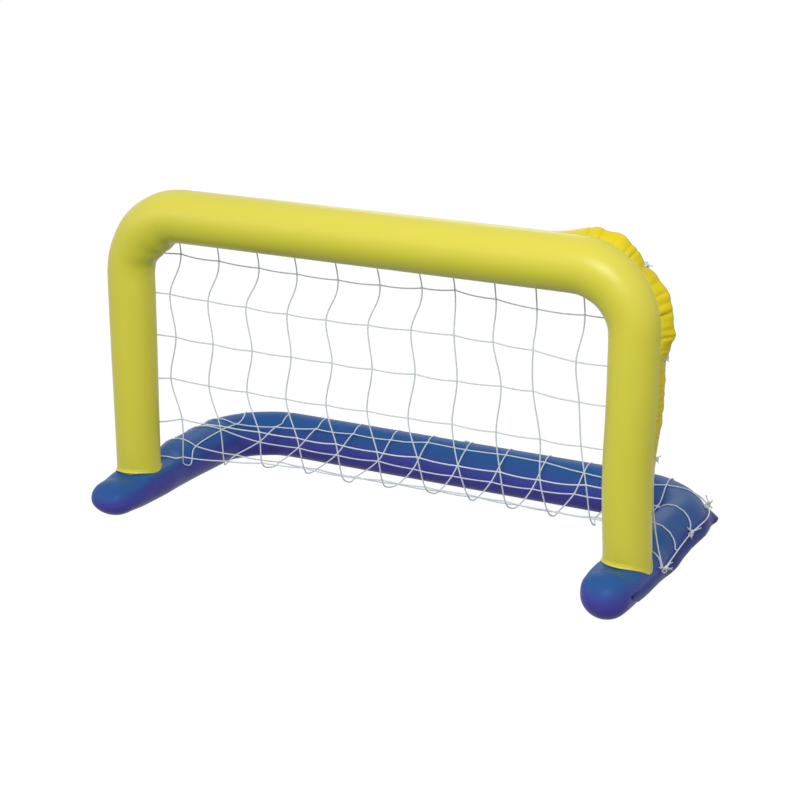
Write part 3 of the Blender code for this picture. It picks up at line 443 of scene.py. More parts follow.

# %% [markdown]
# ## Welded flaps
#
# A flap is two sheets welded by heat, so it is a little deeper in colour than the tube. Its creases are
# darkened with painted shade. The weld itself shows as a narrow line at its root, nearer to the tube's colour,
# pressed by the ribbed bar of the welding machine, 2 mm from rib to rib.

# %% Welded flaps
WELD_SHARE = (0.10, 0.16)
CREASE_SHADE_SHARE = (0.25, 0.95)
RIB_MM = 2.0


def welded_flap(name, face, weld_tint, length, crease_painted_shade):
    material, tree, shader = new_material(name)
    skin = uv_parts(tree, "skin")
    crease = uv_parts(tree, "crease")
    line = spread(tree, skin["Y"], *WELD_SHARE, 1.0, 0.0)
    drift = patches(tree, 35)
    tint = blend(tree, line, blend(tree, drift, *face), weld_tint)
    # painted shade: the colour darkens towards the crease colour where the flap's crease UV layer marks a deep
    # crease, near its root
    depth = work_out(tree, "MULTIPLY", crease["X"], spread(tree, crease["Y"], *CREASE_SHADE_SHARE, 0.85, 0.0))
    tint = blend(tree, depth, tint, crease_painted_shade)
    turns = work_out(tree, "MULTIPLY", skin["X"], TURN * length * 1000 / RIB_MM)
    ribs = work_out(tree, "MULTIPLY", work_out(tree, "SINE", turns), line)
    folds = bump(tree, drift, 0.5, 0.002, bump(tree, ribs, 0.5, 0.0001))
    set_inputs(shader, {"Base Color": tint, "Normal": folds, "IOR": SOFT_PVC_IOR, "Specular IOR Level": 0.07,
                        "Roughness": 0.40})
    return material


# the last colour of each flap is the painted shade for its creases
yellow_flap = welded_flap("yellow_pvc_welded_flap_crease_shade", ("#F2DC2C", "#E2CC1E"), "#DAD24C", 2 * FLAP_END, "#8C7E0A")
blue_flap = welded_flap("blue_pvc_welded_flap", ("#2C3690", "#263084"), "#33509C", 2 * BASE.total, "#20226A")
print("flaps:", yellow_flap.name, "and", blue_flap.name)

# %% [markdown]
# ## Cord
#
# The net and its ties are twisted nylon: white, slightly glossy, with three strands laid round each other. The
# twist comes from the cord's own UVs as a slanted wave. One turn of the twist is about 4 cord widths long.

# %% Twisted cord
LAID_STRANDS = 3
NYLON_IOR = 1.53


def twisted_cord(name, code, turn_mm):
    material, tree, shader = new_material(name)
    parts = uv_parts(tree, "cord")
    along = work_out(tree, "MULTIPLY", parts["X"], TURN * LAID_STRANDS * 1000.0 / turn_mm)
    slant = work_out(tree, "MULTIPLY_ADD", parts["Y"], TURN * LAID_STRANDS, along)
    twist = bump(tree, work_out(tree, "SINE", slant), 0.4, 0.0003)
    set_inputs(shader, {"Base Color": colour(code), "Normal": twist, "IOR": NYLON_IOR, "Roughness": 0.55,
                        "Sheen Weight": 0.3})
    return material


net_cord = twisted_cord("white_nylon_net_cord", "#DCE6EE", 12.0)
tie_cord = twisted_cord("white_nylon_tie_cord", "#E8ECEE", 8.0)
print("cords:", net_cord.name, "and", tie_cord.name)

# %% [markdown]
# ## Valve plastic
#
# The air valves are moulded from clear soft PVC, which looks pale and milky at this thickness. Part of the
# light goes through it, and a faint waviness is left from the mould.

# %% Valve plastic
valve_plastic, tree, shader = new_material("clear_soft_pvc_moulded")
flow = patches(tree, 6)
milky = blend(tree, flow, "#D3DADC", "#E4E8E9")
set_inputs(shader, {"Base Color": milky, "Normal": bump(tree, flow, 0.3, 0.0002), "IOR": SOFT_PVC_IOR,
                    "Roughness": 0.22, "Transmission Weight": 0.25})
print("valves:", valve_plastic.name)

# %% [markdown]
# ## The frame's tube
#
# Two long sheets are welded along both edges and blown up. Round the bends the sheet on the inside has more
# length than it needs, so it gathers into small puckers and fills the corner. The outer seam pulls in a
# little. Both halves are lofted here with these effects as small changes of the radius.

# %% Frame tube
PUCKER_REACH = 0.30
PUCKER_SIZE = 0.017
BEND_FILL = {-1.0: 0.010, 1.0: 0.006}
DIP_SIZE = 0.017
FRAME_DIP = 0.0026
FRAME_VALVE_RUN = FRAME.run_at_leg(0.35)
FRAME_VALVE_ANGLE = 1.69


def frame_radius(run):
    """Fullest along the crossbar and a little drawn in at the feet."""
    thin = smooth_step(run, FRAME.bar_run, FRAME.bend_end)
    taper = smooth_step(run, FRAME_TIES[3], FRAME.total)
    return CROSSBAR_RADIUS + (POST_RADIUS - CROSSBAR_RADIUS) * thin + (FOOT_RADIUS - POST_RADIUS) * taper


def puckers(share, run, from_seam, seed):
    """Gathers across a seam, deep where the share of the bend is 1."""
    near = np.exp(-(from_seam / PUCKER_REACH) ** 2)
    return -(0.0002 + 0.0012 * share) * near * (0.5 + 0.5 * waves(run, seed, PUCKER_SIZE))


def valve_dip(along, around, depth):
    """The stiff seat of a valve holds the sheet a little in."""
    return depth * np.exp(-(along ** 2 + around ** 2) / DIP_SIZE ** 2)


def frame_skin(side, first, last):
    """Half a frame sheet, between two angles round the tube in degrees."""
    run = np.linspace(0.0, FRAME.total, 300)[:, None]
    angle = np.radians(np.linspace(first, last, 49))[None, :]
    share = FRAME.bend_share(run)
    from_inner = np.abs(angle - math.pi)
    from_outer = np.minimum(np.abs(angle), np.abs(angle - TURN))
    radius = frame_radius(run) + puckers(share, run, from_inner, 1.3 + side)
    radius = radius + puckers(0.4 * share, run, from_outer, 4.3 + side)
    radius = radius + BEND_FILL[side] * share * np.exp(-(from_inner / 1.1) ** 2)
    if side > 0:
        around = POST_RADIUS * (angle - FRAME_VALVE_ANGLE)
        radius = radius - valve_dip(run - FRAME_VALVE_RUN, around, FRAME_DIP)
    return frame_points(run, radius * np.cos(angle), radius * np.sin(angle), side)


front_skin = grid_skin("frame_front_skin", both_sides(frame_skin, 180.0, 360.0), yellow)
rear_skin = grid_skin("frame_rear_skin", both_sides(frame_skin, 0.0, 180.0), yellow)
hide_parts("frame_front_sheet")
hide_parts("frame_rear_sheet")
print("the frame's two sheets have", 2 * len(front_skin.data.polygons), "faces")

# %% [markdown]
# ## The frame's flap
#
# The flap is the welded edge that the net is tied to. Each tie holds it back against the tube, and between two
# ties it lifts in a lobe, most of all round the right bend. There the flap's edge has to stretch further than
# its root, so its root gathers into puckers about 16 mm apart.

# %% Frame flap shape
LOBES_RIGHT = (0.00, 0.02, 0.85, 1.0, 0.25, 0.05)
LOBES_LEFT = (0.00, 0.00, 0.00, 0.00, 0.15, 0.05)
SHOULDER_LOBE = 2
LYING = (92.0, 116.0)
HELD = (86.0, 102.0)
LIFTED = (44.0, 64.0)
FOLD_SPACING = 0.0165
CREASE = 0.6
FLAP_RUN = np.linspace(0.0, FLAP_END, 560)
FLAP_STEPS = 12


def flap_lift(run, side):
    """How far a lobe lifts: 0 at each tie. The shoulder's lobe is highest near the bend."""
    stops = [0.0] + FRAME_TIES + [FLAP_END]
    lift = np.zeros_like(run)
    for number, height in enumerate(LOBES_RIGHT if side > 0 else LOBES_LEFT):
        share = np.clip((run - stops[number]) / (stops[number + 1] - stops[number]), 0.0, 1.0)
        skew = 2.1 if number == SHOULDER_LOBE else 1.0
        inside = (run >= stops[number]) & (run < stops[number + 1])
        lift = np.where(inside, height * np.sin(math.pi * share ** skew) ** 0.8, lift)
    return lift


def flap_angles(run, side):
    """The held flap's first and last angle: it lies on the tube all along, but for the right bend."""
    lying = 1.0 - smooth_step(run, FRAME.bar_run - 0.10, FRAME.bar_run + 0.04) * (side > 0)
    lying = np.maximum(lying, smooth_step(run, FRAME_TIES[3], FRAME_TIES[4]))
    return [held + (down - held) * lying for held, down in zip(HELD, LYING)]


def curl(root_out, root_up, width, first, last, steps):
    """A strip's section: its outward and upward distances at each step, curling between two angles."""
    outs, ups = [root_out + 0.0 * width], [root_up + 0.0 * width]
    for step in range(steps):
        angle = np.radians(first + (last - first) * step / (steps - 1))
        outs.append(outs[-1] + width / steps * np.cos(angle))
        ups.append(ups[-1] + width / steps * np.sin(angle))
    return np.stack(outs, axis=1), np.stack(ups, axis=1)


def flap_fold(run, side):
    """The gathers along the flap's root, from -0.6 in a crease to 0.4 on a ridge, and how loose it is."""
    uneven = 1.9 * waves(run, 3.1 + side, 0.075) + 0.9 * waves(run, 1.7, 0.031)
    fold = np.abs(np.sin(math.pi * run / FOLD_SPACING + uneven)) ** 0.6 - CREASE
    loose = smooth_step(run, FRAME.bar_run - 0.06, FRAME.bar_run + 0.03) * (flap_lift(run, side) + 0.08)
    return fold * (0.75 + 0.5 * waves(run, 8.3, 0.043)), loose


def frame_flap(side):
    run = FLAP_RUN
    lift = flap_lift(run, side)
    width = FRAME_FLAP * (1.0 - smooth_step(run, FRAME.run_at_leg(0.26), FLAP_END))
    first, last = [held + (up - held) * lift for held, up in zip(flap_angles(run, side), LIFTED)]
    out, back = curl(frame_radius(run) - FLAP_SHEET, 0.0, width, first, last, FLAP_STEPS)
    share = np.linspace(0.0, 1.0, out.shape[1])[None, :]
    fold, loose = flap_fold(run, side)
    lean = np.radians((first + last) / 2)[:, None]
    depth = (0.0005 + 0.0140 * loose)[:, None] * share ** 0.6 * (1.1 - 0.85 * share)
    rise = -fold[:, None] * depth
    edge = waves(run, 5.2 + side, 0.041)[:, None] * share ** 2 * 0.0045 * loose[:, None]
    return frame_points(run[:, None], out - rise * np.sin(lean) + edge, back + rise * np.cos(lean), side)


# how deep each crease is, kept in the flap's crease UV layer so that its material paints shade there
def crease_shade_depth(side):
    fold, loose = flap_fold(FLAP_RUN, side)
    return np.clip(-fold / CREASE, 0.0, 1.0) ** 1.5 * np.clip(loose, 0.0, 1.0)


frame_flap_skin = grid_skin("frame_flap", both_sides(frame_flap), yellow_flap)
write_uvs(frame_flap_skin, "crease", [(depth, column / FLAP_STEPS) for depth in both_sides(crease_shade_depth)
                                      for column in range(FLAP_STEPS + 1)])
sheet_thickness(frame_flap_skin, FLAP_SHEET)
print("the flap is", FRAME_FLAP * 1000, "mm wide")

# %% [markdown]
# ## The base's tube
#
# The blue tube is pressed flat where it lies on the floor and where each post stands on it. Its ends close
# like a pillow: the two sheets meet at a seam round the nose, so the nose is wide and thin towards its tip.
# Each nose has its own numbers: how much slimmer it is above and below the seam, how far it droops, and how
# blunt it is.

# %% Base tube
FOOT_PRESS = 0.28
FOOT_SPREAD = 0.0040
FOOT_SLOPE = 0.0015
NOSE_LEFT = (0.14, 0.26, 0.008, 0.76)
NOSE_RIGHT = (0.05, -0.02, 0.002, 0.90)
OUTER_SQUARE = 0.60
INNER_SQUARE = 1.30
FLOOR_EASE = 0.003
BASE_DIP = 0.0017
BASE_VALVE_X = -0.010
BASE_VALVE_ANGLE = 0.97


def seam_tilt(run):
    """The seam is level beside the nose and is drawn up behind the post (radians)."""
    behind = BASE.places(run)[1] - POST_Y
    share = np.clip((behind - FRONT_SIDE_TIE) / (REAR_SIDE_TIE - FRONT_SIDE_TIE), 0.0, 1.0)
    return np.radians(4.0 + 18.0 * share)


def base_radius(run):
    along = BASE.places(run)[1]
    return NOSE_RADIUS + (BASE_RADIUS - NOSE_RADIUS) * smooth_step(along, POST_Y - 0.03, POST_Y + 0.30)


def under_post(run, nose_end, rear_end):
    """1 under a post, fading to 0 at a place on the nose and at one behind the post."""
    behind = BASE.places(run)[1] - POST_Y
    return smooth_step(behind, nose_end, -0.055) * (1.0 - smooth_step(behind, 0.05, rear_end))


def foot_share(run):
    return under_post(run, -0.13, 0.17)


def pressed_shape(run, outward):
    """The section's half width and height, how squarish it is on that side, and how much it slopes there."""
    radius = base_radius(run)
    square = under_post(run, -0.125, 0.13)
    squarish = 1.0 + square * np.where(outward > 0, OUTER_SQUARE, INNER_SQUARE)
    high = radius * (1.0 - FOOT_PRESS * foot_share(run))
    return radius + FOOT_SPREAD * square, high, squarish, FOOT_SLOPE * square


def base_section(angle, run):
    """Out and up at an angle round the tube: a circle, but low and squarish under a post."""
    cosine, sine = np.cos(angle), np.sin(angle)
    wide, high, squarish, slope = pressed_shape(run, cosine)
    power = 1.0 / squarish
    slope = slope * np.clip(cosine, 0.0, 1.0) * np.clip(sine * 2.0, 0.0, 1.0)
    out = wide * np.where(sine > 0, np.sign(cosine) * np.abs(cosine) ** power, cosine)
    return out, np.where(sine > 0, high * np.abs(sine) ** power - slope, base_radius(run) * sine)


def rest_on_floor(up):
    """Points that would go under the floor lie on it, and the edge of that patch is eased."""
    over = up + BASE_AXIS_Z
    eased = np.maximum(over + FLOOR_EASE, 0.0) ** 2 / (4 * FLOOR_EASE)
    return np.where(over > FLOOR_EASE, over, eased) - BASE_AXIS_Z


def base_skin(side, upper):
    """Half a base sheet, above or below the seams."""
    run = np.linspace(0.0, BASE.total, 280)
    close = np.radians(np.linspace(0.0, 90.0, 26))[1:]
    slim_above, slim_below, droop, blunt = NOSE_LEFT if side < 0 else NOSE_RIGHT
    ending = 1.0 - smooth_step(BASE.places(run)[1], NOSE_Y, POST_Y - 0.03)
    slim = 1.0 - (slim_above if upper else slim_below) * ending

    def with_nose(tube, nose):
        return np.concatenate([tube, nose])[:, None]

    wide = with_nose(np.ones_like(run), np.cos(close) ** blunt)
    high = with_nose(slim, slim[-1] * np.cos(close) ** 1.05)
    reach = with_nose(np.zeros_like(run), NOSE_LENGTH * np.sin(close) ** 0.95)
    droop = droop * with_nose(ending, np.ones_like(close))
    run = with_nose(run, np.full_like(close, BASE.total))
    angle = np.radians(np.linspace(0.0, 180.0 if upper else -180.0, 49))[None, :]
    share = BASE.bend_share(run)
    gather = puckers(share, run, np.abs(np.abs(angle) - math.pi), 2.0 + side)
    gather = gather + puckers(0.5 * share, run, np.abs(angle), 5.0 + side)
    tilt = seam_tilt(run)
    turned = angle + tilt
    around = BASE_RADIUS * (turned - BASE_VALVE_ANGLE)
    gather = gather - valve_dip(run * side - BASE_VALVE_X, around, BASE_DIP)
    out, up = base_section(turned, run)
    outer, inner = base_section(tilt, run), base_section(tilt + math.pi, run)
    level = inner[1] + (outer[1] - inner[1]) * (out - inner[0]) / (outer[0] - inner[0])
    out = (out + gather * np.cos(turned)) * wide
    up = level * wide + (up - level) * high + gather * np.sin(turned) - droop
    return base_points(run, out, up if upper else rest_on_floor(up), side, reach)


upper_skin = grid_skin("base_upper_skin", both_sides(base_skin, True), blue)
lower_skin = grid_skin("base_lower_skin", both_sides(base_skin, False), blue)
for skin, sheet in ((upper_skin, "base_upper_sheet"), (lower_skin, "base_lower_sheet")):
    weld(skin, 1e-5)
    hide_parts(sheet)
print("the base's two sheets have", 2 * len(upper_skin.data.polygons), "faces")

# %% [markdown]
# ## The base's flap
#
# The base's flap leaves the seam on the outer side and hangs to the floor under its own weight, but for an ear
# that stands out behind each bend.

# %% Base flap
EAR_WIDER = 0.32
EAR_LENGTH = 0.024
FLAP_OVER_FLOOR = 0.0012


def base_flap(side):
    run = np.linspace(0.0, BASE.total, 420)
    behind = BASE.places(run)[1] - POST_Y
    ear = np.exp(-((run - EAR_RUN) / EAR_LENGTH) ** 2)
    width = BASE_FLAP * smooth_step(behind, -0.125, -0.045) * (1.0 + EAR_WIDER * ear)
    root_out, root_up = base_section(seam_tilt(run), run)
    first = -30.0 - 12.0 * smooth_step(run, BASE.bar_run, BASE.bend_end) - 30.0 * foot_share(run)
    last = -100.0 + 55.0 * ear - 24.0 * foot_share(run)
    out, up = curl(root_out - FLAP_SHEET, root_up, width, first, last, FLAP_STEPS)
    share = np.linspace(0.0, 1.0, out.shape[1])[None, :]
    sway = waves(run, 7.2 + side, 0.110)[:, None] * share ** 1.5 * 0.0008
    return base_points(run[:, None], out + sway, np.maximum(up, FLAP_OVER_FLOOR - BASE_AXIS_Z), side)


base_flap_skin = grid_skin("base_flap", both_sides(base_flap), blue_flap)
sheet_thickness(base_flap_skin, FLAP_SHEET)
print("the base's flap is", BASE_FLAP * 1000, "mm wide")

# %% [markdown]
# ## The foot collars
#
# Each post is welded to the base with a skirt of the same yellow sheet. It follows the pressed top of the blue
# tube, stands 8 mm up the post and spreads 4 mm on to the base, with a rolled lip.

# %% Foot collars
COLLAR_HEIGHT = 0.008
COLLAR_FLARE = 0.0038
COLLAR_LIP = 0.0004
COLLAR_SHEET = 0.0007
COLLAR_GAP = 0.0008
COLLAR_LIFT = 0.0010


def base_top(x, y):
    """The height of the blue tube's top at a point beside its leg."""
    wide, high, squarish, slope = pressed_shape(BASE.run_at_leg(y), np.abs(x) - BASE_X)
    off = (np.abs(x) - BASE_X) / wide
    slope = slope * np.clip(off, 0.0, 1.0)
    power = 2.0 * squarish
    off = np.clip(np.abs(off), 0.0, 0.975)
    return BASE_AXIS_Z + high * (1.0 - off ** power) ** (1.0 / power) - slope


def foot_collar(word, side):
    angle = np.linspace(0.0, TURN, 97)[:-1]
    sideways = np.abs(np.cos(angle)) * np.where(np.cos(angle) * side < 0, 0.5, 1.0)
    rings = []
    for share in np.linspace(0.0, 1.0, 9):
        lip = COLLAR_LIP * math.sin(math.pi * min(1.0, max(0.0, share * 3.0 - 2.0)))
        flare = COLLAR_FLARE * share ** 1.6 * (1.0 - 0.8 * sideways ** 2)
        reach = FOOT_RADIUS + COLLAR_GAP + flare
        x = side * (POST_X + reach * np.cos(angle))
        y = POST_Y + reach * np.sin(angle)
        z = base_top(x, y) + COLLAR_LIFT + COLLAR_HEIGHT * (1.0 - share) ** 1.6 + lip
        rings.append(np.stack([x, y, z], axis=1))
    collar = grid_skin("foot_skirt_" + word, np.stack(rings), yellow, closed=True)
    sheet_thickness(collar, COLLAR_SHEET)
    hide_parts("foot_collar_" + word)
    return collar


collars = [foot_collar("right", 1.0), foot_collar("left", -1.0)]
print(len(collars), "collars")

# %% [markdown]
# ## The net's knots
#
# The net has 13 by 10 cells, and they are about 105 mm wide. Its upright part hangs from the crossbar. The
# knots there are taken from the photograph, where they sway to one side and back from row to row. Behind the
# fold the net runs low over the floor to the rear tube, leaning a little to the left.

# %% Knots seen in the photograph
SEEN_KNOTS = {
    1: [(181, 254), (219, 261), (259, 268), (297, 274), (338, 280), (380, 285), (422, 288), (455, 290),
        (496, 299), (537, 309), (585, 315)],
    2: [(170, 294), (208, 301), (246, 307), (287, 314), (326, 320), (368, 325), (411, 330), (454, 335),
        (493, 342), (533, 350), (576, 362)],
    3: [(176, 337), (213, 344), (252, 351), (291, 357), (332, 363), (372, 369), (415, 374), (457, 381),
        (501, 386), (533, 391), (579, 402)],
    4: [(171, 378), (209, 386), (247, 392), (286, 399), (326, 405), (367, 411), (408, 418), (452, 424),
        (496, 432), (540, 439), (581, 446)],
    5: [(182, 419), (220, 426), (259, 432), (297, 438), (336, 444), (377, 452), (417, 457), (458, 466),
        (500, 472), (540, 480), (586, 485)],
    6: [(183, 457), (224, 461), (262, 463), (304, 468), (342, 476), (382, 480), (425, 487), (467, 494),
        (505, 501), (547, 510), (590, 518)],
    7: [(194, 448), (236, 455), (280, 462), (317, 469), (356, 477), (398, 484), (439, 491), (478, 497),
        (519, 505), (558, 512), (596, 517), (637, 526)],
    8: [(219, 434), (259, 442), (298, 448), (336, 455), (378, 461), (413, 469), (452, 476), (491, 482),
        (532, 489), (574, 494), (615, 500), (658, 506)],
    9: [(237, 424), (276, 427), (316, 429), (353, 434), (391, 440), (428, 444), (466, 451), (506, 457),
        (545, 464), (584, 473), (625, 481), (667, 488)],
}
SEEN_LOOPS = [(184, 465), (227, 463), (272, 467), (309, 473), (350, 482), (387, 487), (432, 493), (472, 500),
              (511, 508), (553, 516), (595, 525)]
LOW_HEIGHTS = {7: 0.088, 8: 0.086, 9: 0.100}
print("knots seen:", sum(len(row) for row in SEEN_KNOTS.values()), "and loops seen:", len(SEEN_LOOPS))

# %% Sizes of the net
COLUMNS = 13
ROWS = 10
FOLD_ROW = 6
PITCH = 0.1046
STRAND = 0.0032
UPRIGHT_Y = POST_Y + 0.076
FOLD_Y = POST_Y + 0.095
LOOP_Y = POST_Y + 0.135
LOOP_DROOP = np.array([0.0, 0.0, -0.020])
BESIDE_LAST_KNOT = np.array([PITCH * 0.93, 0.0, 0.004])
TOP_LEAN = 0.030
REAR_LEAN = -0.042
SIDE_SLACK = -0.012
SAG = -0.0024
HAND_ERROR = 0.0022


def random_offset(x, y, z):
    """A small offset that is the same each run, because nets are knotted by hand."""
    return np.array(noise.noise_vector(Vector((x, y, z))))


def along_frame(run, side):
    """The border strand on the frame's held flap."""
    run = np.atleast_1d(np.asarray(run, float))
    first, last = flap_angles(run, side)
    out, back = curl(frame_radius(run), 0.0, np.full(run.shape, FRAME_FLAP + 0.004), first, last, 6)
    return frame_points(run, out[:, -1], back[:, -1], side)


def along_base(run, side):
    """The border strand above the base's flap, close to its seam."""
    run = np.atleast_1d(np.asarray(run, float))
    out, up = base_section(seam_tilt(run), run)
    return base_points(run, out + 0.0085, up + 0.0012, side)


KNOT_SHIFT = 0.0035
FRAME_RUNS = [FRAME_CORNER + KNOT_SHIFT, (FRAME_CORNER + FRAME_TIES[3]) / 2, FRAME_TIES[3] + 2 * KNOT_SHIFT,
              (FRAME_TIES[3] + FRAME_TIES[4]) / 2, FRAME_TIES[4] + 2 * KNOT_SHIFT]
BASE_RUNS = [FRONT_RUN + 2 * KNOT_SHIFT, 0.48 * FRONT_RUN + 0.52 * REAR_RUN, REAR_RUN - 2 * KNOT_SHIFT,
             BASE_CORNER_TIE + 0.018, BASE_CORNER_TIE - 0.006]
LEFT_BASE_RUNS = [BASE_RUNS[0], BASE.run_at_leg(-0.045), BASE.run_at_leg(0.040), BASE.run_at_leg(0.135),
                  BASE_CORNER - KNOT_SHIFT]
print("border strands follow the flaps for", round(FRAME_RUNS[-1], 2), "m and", round(BASE_RUNS[0], 2), "m")


# %% Keep the strands out of the tubes
def nearest_axis(shape, across, along):
    """The run of a U's axis that is nearest to a point."""
    if across > shape.bar_run and along > shape.bar - shape.bend:
        turn = math.atan2(along - (shape.bar - shape.bend), across - shape.bar_run)
        return shape.bar_run + (math.pi / 2 - turn) * shape.bend
    if across > shape.bar_run or shape.half_width - across < shape.bar - along:
        return shape.run_at_leg(max(along, shape.leg_end))
    return across


def section_reach(out, up, run):
    """How far the base's surface is from its axis, the way that a point lies."""
    if up <= 0:
        return base_radius(run)
    wide, high, squarish, slope = pressed_shape(run, out)
    power = 2.0 * squarish
    far = math.hypot(out, up) + 1e-9
    return ((abs(out) / far / wide) ** power + (up / far / high) ** power) ** (-1.0 / power)


def push_out(point, centre, radius):
    off = point - centre
    far = np.linalg.norm(off)
    room = radius + STRAND / 2 + 0.0004
    return centre + off / far * room if 1e-6 < far < room else point


def lie_on_tubes(path):
    """Push a strand out wherever it would go into a tube, so that it lies on it."""
    laid = []
    for point in np.atleast_2d(path):
        side = math.copysign(1.0, point[0])
        run = nearest_axis(FRAME, abs(point[0]), point[2])
        point = push_out(point, frame_points(run, 0.0, 0.0, side), frame_radius(run))
        run = nearest_axis(BASE, abs(point[0]), point[1])
        centre = base_points(run, 0.0, 0.0, side)
        outward = (base_points(run, 1.0, 0.0, side) - centre) @ (point - centre)
        laid.append(push_out(point, centre, section_reach(outward, point[2] - centre[2], run)))
    return np.array(laid)


print("strands lie on the tubes that they cross")


# %% Place every knot
def on_border(follow, shape, reach, across):
    """The place on the border along a U's bar that is so far across."""
    run = abs(across)
    if run > shape.bar_run:
        turn = math.acos(min((run - shape.bar_run) / (shape.bend + reach), 1.0))
        run = shape.bar_run + (math.pi / 2 - turn) * shape.bend
    return follow(run, math.copysign(1.0, across))[0]


def side_slack(side):
    """How far the free part of a side border sags inwards in its middle."""
    return np.array([SIDE_SLACK * side, 0.0, 0.0])


def side_knot(row, side):
    if row < 5:
        return along_frame(FRAME_RUNS[row], side)[0]
    if row == 5:
        return (side_knot(4, side) + side_knot(FOLD_ROW, side)) / 2 + side_slack(side)
    return along_base((BASE_RUNS if side > 0 else LEFT_BASE_RUNS)[row - FOLD_ROW], side)[0]


def knot(row, column):
    across = (column - COLUMNS / 2) * PITCH
    if column in (0, COLUMNS):
        return side_knot(row, math.copysign(1.0, across))
    if row == 0:
        return on_border(along_frame, FRAME, 0.050, across + TOP_LEAN * (1.0 - column / COLUMNS))
    if row == ROWS:
        return on_border(along_base, BASE, 0.055, across + REAR_LEAN)
    if row > FOLD_ROW:
        return seen_at(SEEN_KNOTS[row][column - 1], height=LOW_HEIGHTS[row])
    if column == COLUMNS - 1:
        return knot(row, column - 1) + BESIDE_LAST_KNOT
    return seen_at(SEEN_KNOTS[row][column - 1], depth=UPRIGHT_Y if row < FOLD_ROW else FOLD_Y)


knots = {(r, c): lie_on_tubes(knot(r, c))[0] for r in range(ROWS + 1) for c in range(COLUMNS + 1)}
print(len(knots), "knots are placed")

# %% [markdown]
# ## The net's strands
#
# A strand from knot to knot hangs a little and bends smoothly through the knots, so the upright ones are drawn
# as curves through all their knots. Below the fold each one droops in a loose loop before it runs back.


# %% Strands
def through(points, pieces):
    """A smooth curve through points (a Catmull-Rom spline)."""
    points = [2 * points[0] - points[1]] + list(points) + [2 * points[-1] - points[-2]]
    path = [points[1]]
    for a, b, c, d in zip(points, points[1:], points[2:], points[3:]):
        for step in range(1, pieces + 1):
            t = step / pieces
            path.append(0.5 * (2 * b + (c - a) * t + (2 * a - 5 * b + 4 * c - d) * t ** 2
                               + (3 * b - a - 3 * c + d) * t ** 3))
    return np.array(path)


def hang(start, end, sag, count):
    """Points from a start to an end, with the middle moved by the sag."""
    share = np.linspace(0.0, 1.0, count)[:, None]
    return start + (end - start) * share + 4.0 * share * (1.0 - share) * sag


def row_strand(row):
    """A row from side to side: nearly straight from knot to knot, each piece hanging a little."""
    path = [knots[row, 0][None, :]]
    for column in range(COLUMNS):
        sag = np.array([0.0, 0.0, SAG]) + random_offset((row + 20) * 1.73, column * 2.31, 4.7) * HAND_ERROR
        path.append(hang(knots[row, column], knots[row, column + 1], sag, 13)[1:])
    return lie_on_tubes(np.concatenate(path))


def end_strand(follow, corner):
    """The top or rear border from corner to corner, along its flap."""
    runs = np.linspace(-corner, corner, 200)
    return np.array([follow(abs(run), math.copysign(1.0, run))[0] for run in runs])


def column_strand(column):
    """A strand from the crossbar down to the fold, through its loop and back to the rear tube."""
    whole = [knots[row, column] for row in range(ROWS + 1)]
    if column < COLUMNS - 1:
        loop = seen_at(SEEN_LOOPS[column - 1], depth=LOOP_Y)
    else:
        loop = (whole[FOLD_ROW] + whole[FOLD_ROW + 1]) / 2 + LOOP_DROOP
    return lie_on_tubes(through(whole[:FOLD_ROW + 1] + [loop] + whole[FOLD_ROW + 1:], 14))


def side_strand(side):
    """A side border: along the post's flap, free across to the base, then along the base's flap."""
    on_frame = along_frame(np.linspace(FRAME_RUNS[0], FRAME_RUNS[-1], 60), side)
    on_base = along_base(np.linspace(BASE_RUNS[0], BASE_RUNS[-1], 60), side)
    free = hang(on_frame[-1], on_base[0], side_slack(side), 20)[1:-1]
    return np.concatenate([on_frame, lie_on_tubes(free), on_base])


strands = [row_strand(row) for row in range(1, ROWS)]
strands += [end_strand(along_frame, FRAME_RUNS[0]), end_strand(along_base, BASE_RUNS[-1])]
strands += [column_strand(column) for column in range(1, COLUMNS)]
strands += [side_strand(side) for side in (-1.0, 1.0)]
net = cord_mesh("net_strands", [(path, STRAND / 2) for path in strands], net_cord)
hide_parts("net")
print("the net has", len(strands), "strands")

# %% Knots of the net
WRAP_TURNS = 2
WRAP_RADIUS = 0.0018
WRAP_CORD = 0.0012


def knot_wraps(point, spot):
    """Two turns of cord wrapped over a crossing, each crossing turned its own way."""
    turn = Matrix.Rotation(0.9 * spot, 3, "Y") @ Matrix.Rotation(math.radians(90), 3, "X")
    angles = np.linspace(0.0, TURN * WRAP_TURNS, 22)
    rise = WRAP_CORD / 2 * (angles / math.pi - WRAP_TURNS)
    coil = np.stack([WRAP_RADIUS * np.cos(angles), WRAP_RADIUS * np.sin(angles), rise], axis=1)
    return point + coil @ np.array(turn).T


inner = [point for (row, column), point in knots.items() if 0 < row < ROWS and 0 < column < COLUMNS]
wraps = [(knot_wraps(point, spot), WRAP_CORD) for spot, point in enumerate(inner)]
net_knots = cord_mesh("net_knots", wraps, net_cord, sides=6)
print(len(wraps), "knots are wrapped")

# %% [markdown]
# ## The ties
#
# Each tie is a thin cord that goes through the flap and twice round the border strand. It ends in a small hard
# knot with two long ends and two short ones, and the ends fray. They are the white tufts that show along the
# flaps.

# %% One tie
LONG_END = (0.0105, 0.008)
SHORT_END = (0.0075, -0.004)
FIBRES = 5


